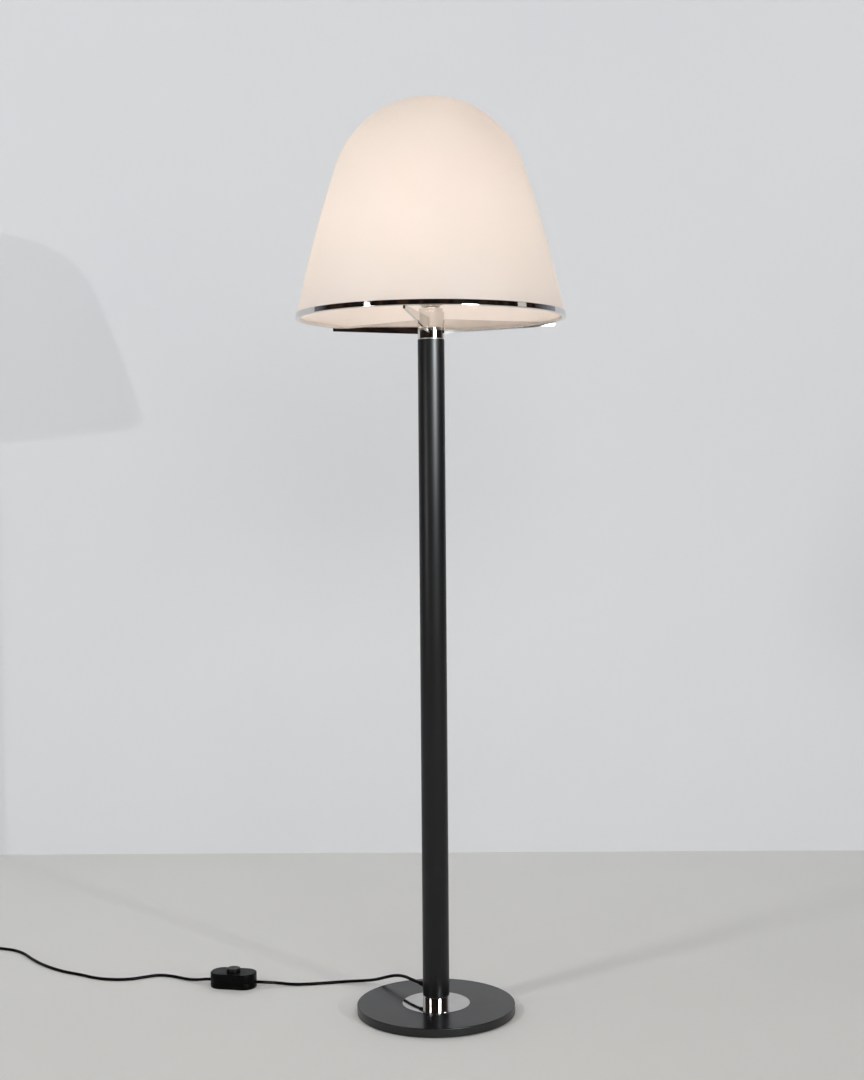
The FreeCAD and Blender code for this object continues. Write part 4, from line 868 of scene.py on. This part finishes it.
def oval_ring(long, wide, corner, steps=14):
    """Points of a rounded rectangle, anticlockwise, in millimetres."""
    points = []
    half_x = long / 2 - corner
    half_y = wide / 2 - corner
    for quarter, (sx, sy) in enumerate(((1, 1), (-1, 1), (-1, -1), (1, -1))):
        for k in range(steps + 1):
            angle = math.radians(90.0 * quarter + 90.0 * k / steps)
            x = sx * half_x + corner * math.cos(angle)
            points.append((x, sy * half_y + corner * math.sin(angle)))
    return points


def stacked_mesh(levels, cap_high=True):
    """Joins rings of points, each at its height, into a shell; levels are (points, height)."""
    maker = bmesh.new()
    rings = [add_ring(maker, [(x, y, height) for x, y in points]) for points, height in levels]
    join_rings(maker, rings)
    maker.faces.new(rings[0][::-1])
    if cap_high:
        maker.faces.new(rings[-1])
    bmesh.ops.remove_doubles(maker, verts=maker.verts, dist=1e-7)
    bmesh.ops.recalc_face_normals(maker, faces=maker.faces)
    return maker


def floor_place(place, height=0.0):
    """The move from the origin to a place on the floor; millimetres and degrees."""
    x, y, turn = place
    spin = Matrix.Rotation(math.radians(turn), 4, "Z")
    return Matrix.Translation((x * MM, y * MM, height * MM)) @ spin


def set_on_floor(maker, place, height=0.0):
    """Turns and moves a shape to its place on the floor."""
    bmesh.ops.transform(maker, matrix=floor_place(place, height), verts=maker.verts)
    return maker


def shell_levels(sections):
    """Turns (inset, height) pairs into rings of the switch's outline."""
    long, wide, corner = 92.0, 53.0, 24.0
    return [
        (oval_ring(long - 2 * inset, wide - 2 * inset, corner - inset), height)
        for inset, height in sections
    ]


def ring_like(points, radius):
    """A circle with one point for each of the given points, in the same directions."""
    return [(radius * x / math.hypot(x, y), radius * y / math.hypot(x, y)) for x, y in points]


def dress_switch():
    """Lower and upper shell with a fine joint between them, and the round push button."""
    lower = [
        (1.2, 0.0), (0.5, 0.25), (0.1, 0.9), (0.0, 1.4), (0.0, 10.2), (0.15, 10.6), (0.5, 10.8),
        (2.0, 10.8),
    ]
    maker = set_on_floor(stacked_mesh(shell_levels(lower)), SWITCH_PLACE)
    lower_shell = keep_mesh("switch_lower_shell", maker, ABS, "lamp")
    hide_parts("switch_base")
    shoulder, round_over, arc_steps = 27.0, 2.4, 8
    top = shoulder + round_over
    upper = [(2.0, 11.2), (0.5, 11.2), (0.15, 11.4), (0.0, 11.8), (0.0, shoulder)]
    for k in range(1, arc_steps + 1):
        angle = math.radians(90.0 * k / arc_steps)
        upper.append((round_over * (1 - math.cos(angle)), shoulder + round_over * math.sin(angle)))
    levels = shell_levels(upper + [(2.9, top)])
    rim = levels[-1][0]
    # A flat collar lies round the button, its inner edge broken down into the bore.
    hole, collar, bore = (ring_like(rim, radius) for radius in (15.2, 14.2, 13.9))
    bore_foot = 24.0
    levels += [(hole, top), (collar, top), (bore, top - 0.4), (bore, bore_foot)]
    maker = set_on_floor(stacked_mesh(levels, cap_high=False), SWITCH_PLACE)
    piece = keep_mesh("switch_upper_shell", maker, ABS, "lamp")
    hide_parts("switch_cover")
    button = [
        (0.0, 36.5), (8.0, 36.55), (11.5, 36.7), (12.4, 36.6), (13.1, 36.2), (13.4, 35.5),
        (13.5, 34.6), (13.5, 26.9), (15.0, 26.9), (15.0, 25.4), (12.0, 25.4), (12.0, 34.4),
        (0.0, 34.4),
    ]
    maker = turned_mesh(button, 96, closed=False, centre=SWITCH_PLACE[:2])
    piece = keep_mesh("switch_push_button", maker, BUTTON_ABS, "button")
    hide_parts("switch_button")
    return lower_shell


# ---- plug and tie ----


def dress_plug():
    """A flat two-pin plug: a narrow neck, a hollow on each face for grip bars, a smooth end."""
    sections = [
        (0.0, 8.0, 7.6), (1.0, 9.6, 8.4), (4.0, 10.4, 8.8), (9.0, 13.0, 10.2), (13.0, 17.5, 12.2),
        (15.5, 19.6, 12.9), (28.5, 23.6, 12.9), (30.0, 24.8, 13.6), (31.5, 25.4, 14.0),
        (36.4, 26.0, 14.0), (37.6, 25.6, 13.6), (38.0, 24.6, 12.8),
    ]
    roundness = 0.42
    maker = stacked_mesh([
        (oval_ring(wide, high, high * roundness, 6), along) for along, wide, high in sections
    ])
    # The sections were stacked upwards; this lays them along X, their width along Y.
    lying = Matrix(((0, 0, 1, 0), (1, 0, 0, 0), (0, 1, 0, 0), (0, 0, 0, 1)))
    bmesh.ops.transform(maker, matrix=lying, verts=maker.verts)
    x, y, height, turn = PLUG_PLACE
    set_on_floor(maker, (x, y, turn), height)
    piece = keep_mesh("moulded_plug", maker, SOFT_PVC, "lamp", 40.0)
    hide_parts("plug_body")
    bars = grip_bars(count=6, start=17.2, pitch=2.0, level=6.3, radius=0.6, length=15.0)
    bars.data.transform(floor_place((x, y, turn), height))
    return piece, bars


def strap_coil():
    """A woven tape drawn tight round the coil, its free end pressed down on top."""
    middle = 33.0
    wide, high, corner = 20.4, 13.2, 3.8
    # The tape's section as (inset from the outside, distance across), its edges broken.
    section = [
        (0.3, -4.0), (0.0, -3.7), (0.0, 3.7), (0.3, 4.0), (0.9, 4.0), (1.2, 3.7), (1.2, -3.7),
        (0.9, -4.0),
    ]
    maker = bmesh.new()
    rings = []
    for inset, across in section:
        loop = oval_ring(wide - 2 * inset, high - 2 * inset, corner - inset, 8)
        rings.append(add_ring(maker, [(middle + x, across, high / 2 + y) for x, y in loop]))
    join_rings(maker, rings, closed=True)
    free_end = bmesh.ops.create_cube(maker, size=1.0)["verts"]
    tape_size = (13.0 * MM, 7.6 * MM, 1.0 * MM)
    bmesh.ops.scale(maker, vec=tape_size, verts=free_end)
    place = ((middle - 0.6) * MM, 0.0, (high + 0.42) * MM)
    bmesh.ops.translate(maker, vec=place, verts=free_end)
    break_edges(maker, list({edge for vert in free_end for edge in vert.link_edges}))
    bmesh.ops.recalc_face_normals(maker, faces=maker.faces)
    set_on_floor(maker, (*COIL_PLACE, STRAP_TURN))
    piece = keep_mesh("coil_strap", maker, STRAP_NYLON, "lamp", 40.0)
    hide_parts("cord_tie")
    return piece


def grip_bars(count, start, pitch, level, radius, length):
    """Round bars across both faces of the plug, set out by a node tree on two lines of points."""
    sizes = {
        "Bars": count, "Start": start * MM, "Pitch": pitch * MM, "Face level": level * MM,
        "Bar radius": radius * MM, "Bar length": length * MM,
    }
    group, given = start_tree("grip_bars", sizes)
    step = add_node(group, "ShaderNodeCombineXYZ", {"X": given["Pitch"]})
    faces = add_node(group, "GeometryNodeJoinGeometry")
    for side in (1.0, -1.0):
        inputs = {0: given["Face level"], 1: side}
        level = add_node(group, "ShaderNodeMath", inputs, operation="MULTIPLY").outputs["Value"]
        first = add_node(group, "ShaderNodeCombineXYZ", {"X": given["Start"], "Z": level})
        ends = {"Start Location": first.outputs["Vector"], "Offset": step.outputs["Vector"]}
        line = add_node(group, "GeometryNodeMeshLine", {"Count": given["Bars"], **ends})
        group.links.new(line.outputs["Mesh"], faces.inputs["Geometry"])
    bar = add_node(
        group,
        "GeometryNodeMeshCylinder",
        {"Vertices": 12, "Radius": given["Bar radius"], "Depth": given["Bar length"]},
    )
    lying = add_node(
        group,
        "GeometryNodeTransform",
        {"Geometry": bar.outputs["Mesh"], "Rotation": (math.pi / 2, 0.0, 0.0)},
    )
    row = add_node(
        group,
        "GeometryNodeInstanceOnPoints",
        {"Points": faces.outputs["Geometry"], "Instance": lying.outputs["Geometry"]},
    )
    points = row.outputs["Instances"]
    return piece_from_tree("plug_grip_bars", group, points, SOFT_PVC, sizes)


# ---- room and light ----


def open_from_behind(tree, surface):
    """The wall stands close behind the lamp, so the camera doesn't see it from its rear side."""
    side = add_node(tree, "ShaderNodeNewGeometry").outputs["Backfacing"]
    ray = add_node(tree, "ShaderNodeLightPath").outputs["Is Camera Ray"]
    rear = add_node(tree, "ShaderNodeMath", {0: side, 1: ray}, operation="MULTIPLY")
    nothing = add_node(tree, "ShaderNodeBsdfTransparent")
    blend = {0: rear.outputs["Value"], 1: surface.outputs["BSDF"], 2: nothing.outputs["BSDF"]}
    show(tree, add_node(tree, "ShaderNodeMixShader", blend).outputs["Shader"])


def stage_sheet(name, corners, paint):
    """A flat four-cornered sheet of the room."""
    mesh = bpy.data.meshes.new(name)
    mesh.from_pydata(corners, [], [(0, 1, 2, 3)])
    mesh.materials.append(paint)
    piece = bpy.data.objects.new(name, mesh)
    SCENE.collection.objects.link(piece)


def build_room():
    """Matt painted floor and wall, both pale, the wall a little out of square with the camera."""
    floor_paint, tree, surface = blank_material("painted_floor", IOR=1.45, Specular_IOR_Level=0.0)
    blotch = object_grain(tree, 900.0, 3.0)
    grain = object_grain(tree, 25.0, 4.0)
    finish_skin(tree, surface, (blotch, "#f2f2ef", "#f5f5f2"), (grain, 0.42, 0.5))
    wall_paint, tree, surface = blank_material("painted_wall", IOR=1.45, Roughness=0.9)
    blotch = object_grain(tree, 1500.0, 2.0)
    finish_skin(tree, surface, (blotch, "#eff1f5", "#f2f4f7"))
    open_from_behind(tree, surface)
    reach = 9
    corners = [(-reach, -reach, 0), (reach, -reach, 0), (reach, reach, 0), (-reach, reach, 0)]
    stage_sheet("studio_floor", corners, floor_paint)
    left, right, tall = (-3.4, 1.354), (1.9, 1.289), 4
    corners = [(*left, 0), (*right, 0), (*right, tall), (*left, tall)]
    stage_sheet("studio_wall", corners, wall_paint)


# Each lamp has a name, its turn from the lamp's front, distance and height, its width and height,
# its power, the height it aims at, its colour and its work.
LAMPS = (
    ("key_right", 42.2, 5.8, 1.82, 0.03, 0.03, 48.0, 1.3, "#f8f8f6", "fill"),
    ("window_right", 31.0, 5.0, 1.75, 1.25, 0.3, 270.0, 1.3, "#f4f8fa", "gleam"),
    ("window_reveal", 41.3, 5.0, 1.76, 0.48, 0.5, 0.5, 1.3, "#f4f8fa", "gleam"),
    ("window_edge", 46.3, 5.8, 1.85, 0.22, 0.12, 0.7, 1.3, "#f4f8fa", "gleam"),
    ("softbox_left", -51.0, 3.8, 2.9, 0.45, 0.45, 32.0, 0.5, "#ffffff", "fill"),
    ("softbox_sheen", -51.0, 3.8, 1.05, 0.7, 0.75, 16.0, 1.0, "#ffffff", "gleam"),
    ("softbox_high", -60.0, 4.0, 3.2, 0.6, 1.4, 6.0, 1.5, "#ffffff", "gleam"),
    ("key_left", -52.6, 4.0, 2.028, 0.37, 0.07, 0.8, 0.6, "#ffffff", "gleam"),
    ("pane_far_right", 79.0, 2.8, 1.79, 0.45, 0.06, 0.06, 1.3, "#fdfdf4", "gleam"),
    ("front_fill", 9.0, 5.0, 3.0, 2.6, 1.2, 38.0, 1.1, "#ffffff", "fill"),
)


def add_lamp(name, turn, distance, height, wide, tall, power, aim_height, colour, work):
    """A flat softbox; one that works as a gleam shows only in gloss, one that fills never does."""
    light = bpy.data.lights.new(name, "AREA")
    light.shape = "RECTANGLE"
    light.size = wide
    light.size_y = tall
    light.energy = power
    light.color = linear(colour)[:3]
    holder = bpy.data.objects.new(name, light)
    angle = math.radians(turn)
    place = Vector((math.sin(angle) * distance, -math.cos(angle) * distance, height))
    aim = Vector((0.0, 0.0, aim_height))
    facing = (aim - place).to_track_quat("-Z", "Y").to_matrix().to_4x4()
    holder.matrix_world = Matrix.Translation(place) @ facing
    holder.visible_diffuse = holder.visible_transmission = work == "fill"
    holder.visible_glossy = work == "gleam"
    SCENE.collection.objects.link(holder)


def light_room():
    """A dim room behind the camera for reflections, even pale light for everything else."""
    world = bpy.data.worlds.new("studio_room")
    world.use_nodes = True
    tree = world.node_tree
    tree.nodes.clear()
    place = add_node(tree, "ShaderNodeTexCoord")
    upright = add_node(
        tree,
        "ShaderNodeMapping",
        {"Vector": place.outputs["Generated"], "Scale": (9.0, 9.0, 1.6)},
    )
    shelves = add_node(
        tree,
        "ShaderNodeTexNoise",
        {"Vector": upright.outputs["Vector"], "Scale": 1.0, "Detail": 4.0},
    ).outputs["Fac"]
    stops = ((0.45, "#17110f"), (0.62, "#3a2a22"))
    dim_room = add_node(tree, "ShaderNodeValToRGB", {"Fac": shelves}, stops=stops)
    # How the room changes sideways, from behind the camera to the wall, and upwards.
    ranges = {
        "X": (-0.9, 0.9, 1.15, 0.88), "Y": (0.12, 0.75, 0.0, 1.0), "Z": (0.1, 1.0, 0.74, 0.16),
    }
    parts = axes(tree, "Generated")
    change = {}
    for axis, ends in ranges.items():
        inputs = {"Value": parts[axis], **dict(zip(RANGE_ENDS, ends))}
        change[axis] = add_node(tree, "ShaderNodeMapRange", inputs).outputs["Result"]
    mirrored = add_node(
        tree,
        "ShaderNodeMix",
        {"Factor": change["Y"], "A": dim_room.outputs["Color"], "B": linear("#a9aeb9")},
        data_type="RGBA",
    )
    level = add_node(tree, "ShaderNodeMath", {0: change["Z"], 1: change["X"]}, operation="MULTIPLY")
    inputs = {"Color": linear("#eeeded"), "Strength": level.outputs["Value"]}
    shown = add_node(tree, "ShaderNodeBackground", inputs).outputs["Background"]
    ray = add_node(tree, "ShaderNodeLightPath").outputs
    rooms = {"Is Glossy Ray": mirrored.outputs["Result"], "Is Camera Ray": linear("#d5d8da")}
    for kind, colour in rooms.items():
        room = add_node(tree, "ShaderNodeBackground", {"Color": colour, "Strength": 1.0})
        choice = {0: ray[kind], 1: shown, 2: room.outputs["Background"]}
        shown = add_node(tree, "ShaderNodeMixShader", choice).outputs["Shader"]
    add_node(tree, "ShaderNodeOutputWorld", {"Surface": shown})
    SCENE.world = world
    for lamp in LAMPS:
        add_lamp(*lamp)


# ---- put together ----

SCENE.view_settings.view_transform = "Standard"
place_camera()
finish_nodes()
lamp_flex = lay_cord("lamp_flex", LAMP_CORD)
mains_flex = lay_cord("mains_flex", MAINS_CORD + coil_points() + PLUG_CORD)
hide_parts("cord_to_switch")
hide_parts("cord_to_coil", "cord_coil", "cord_to_plug")
dress_base()
dress_pole()
strain_relief()
dress_hub()
dress_arms()
dress_shade()
dress_lampholder()
dress_bulb()
switch_shell = dress_switch()
moulded_plug, plug_bars = dress_plug()
coil_strap = strap_coil()
build_room()
light_room()
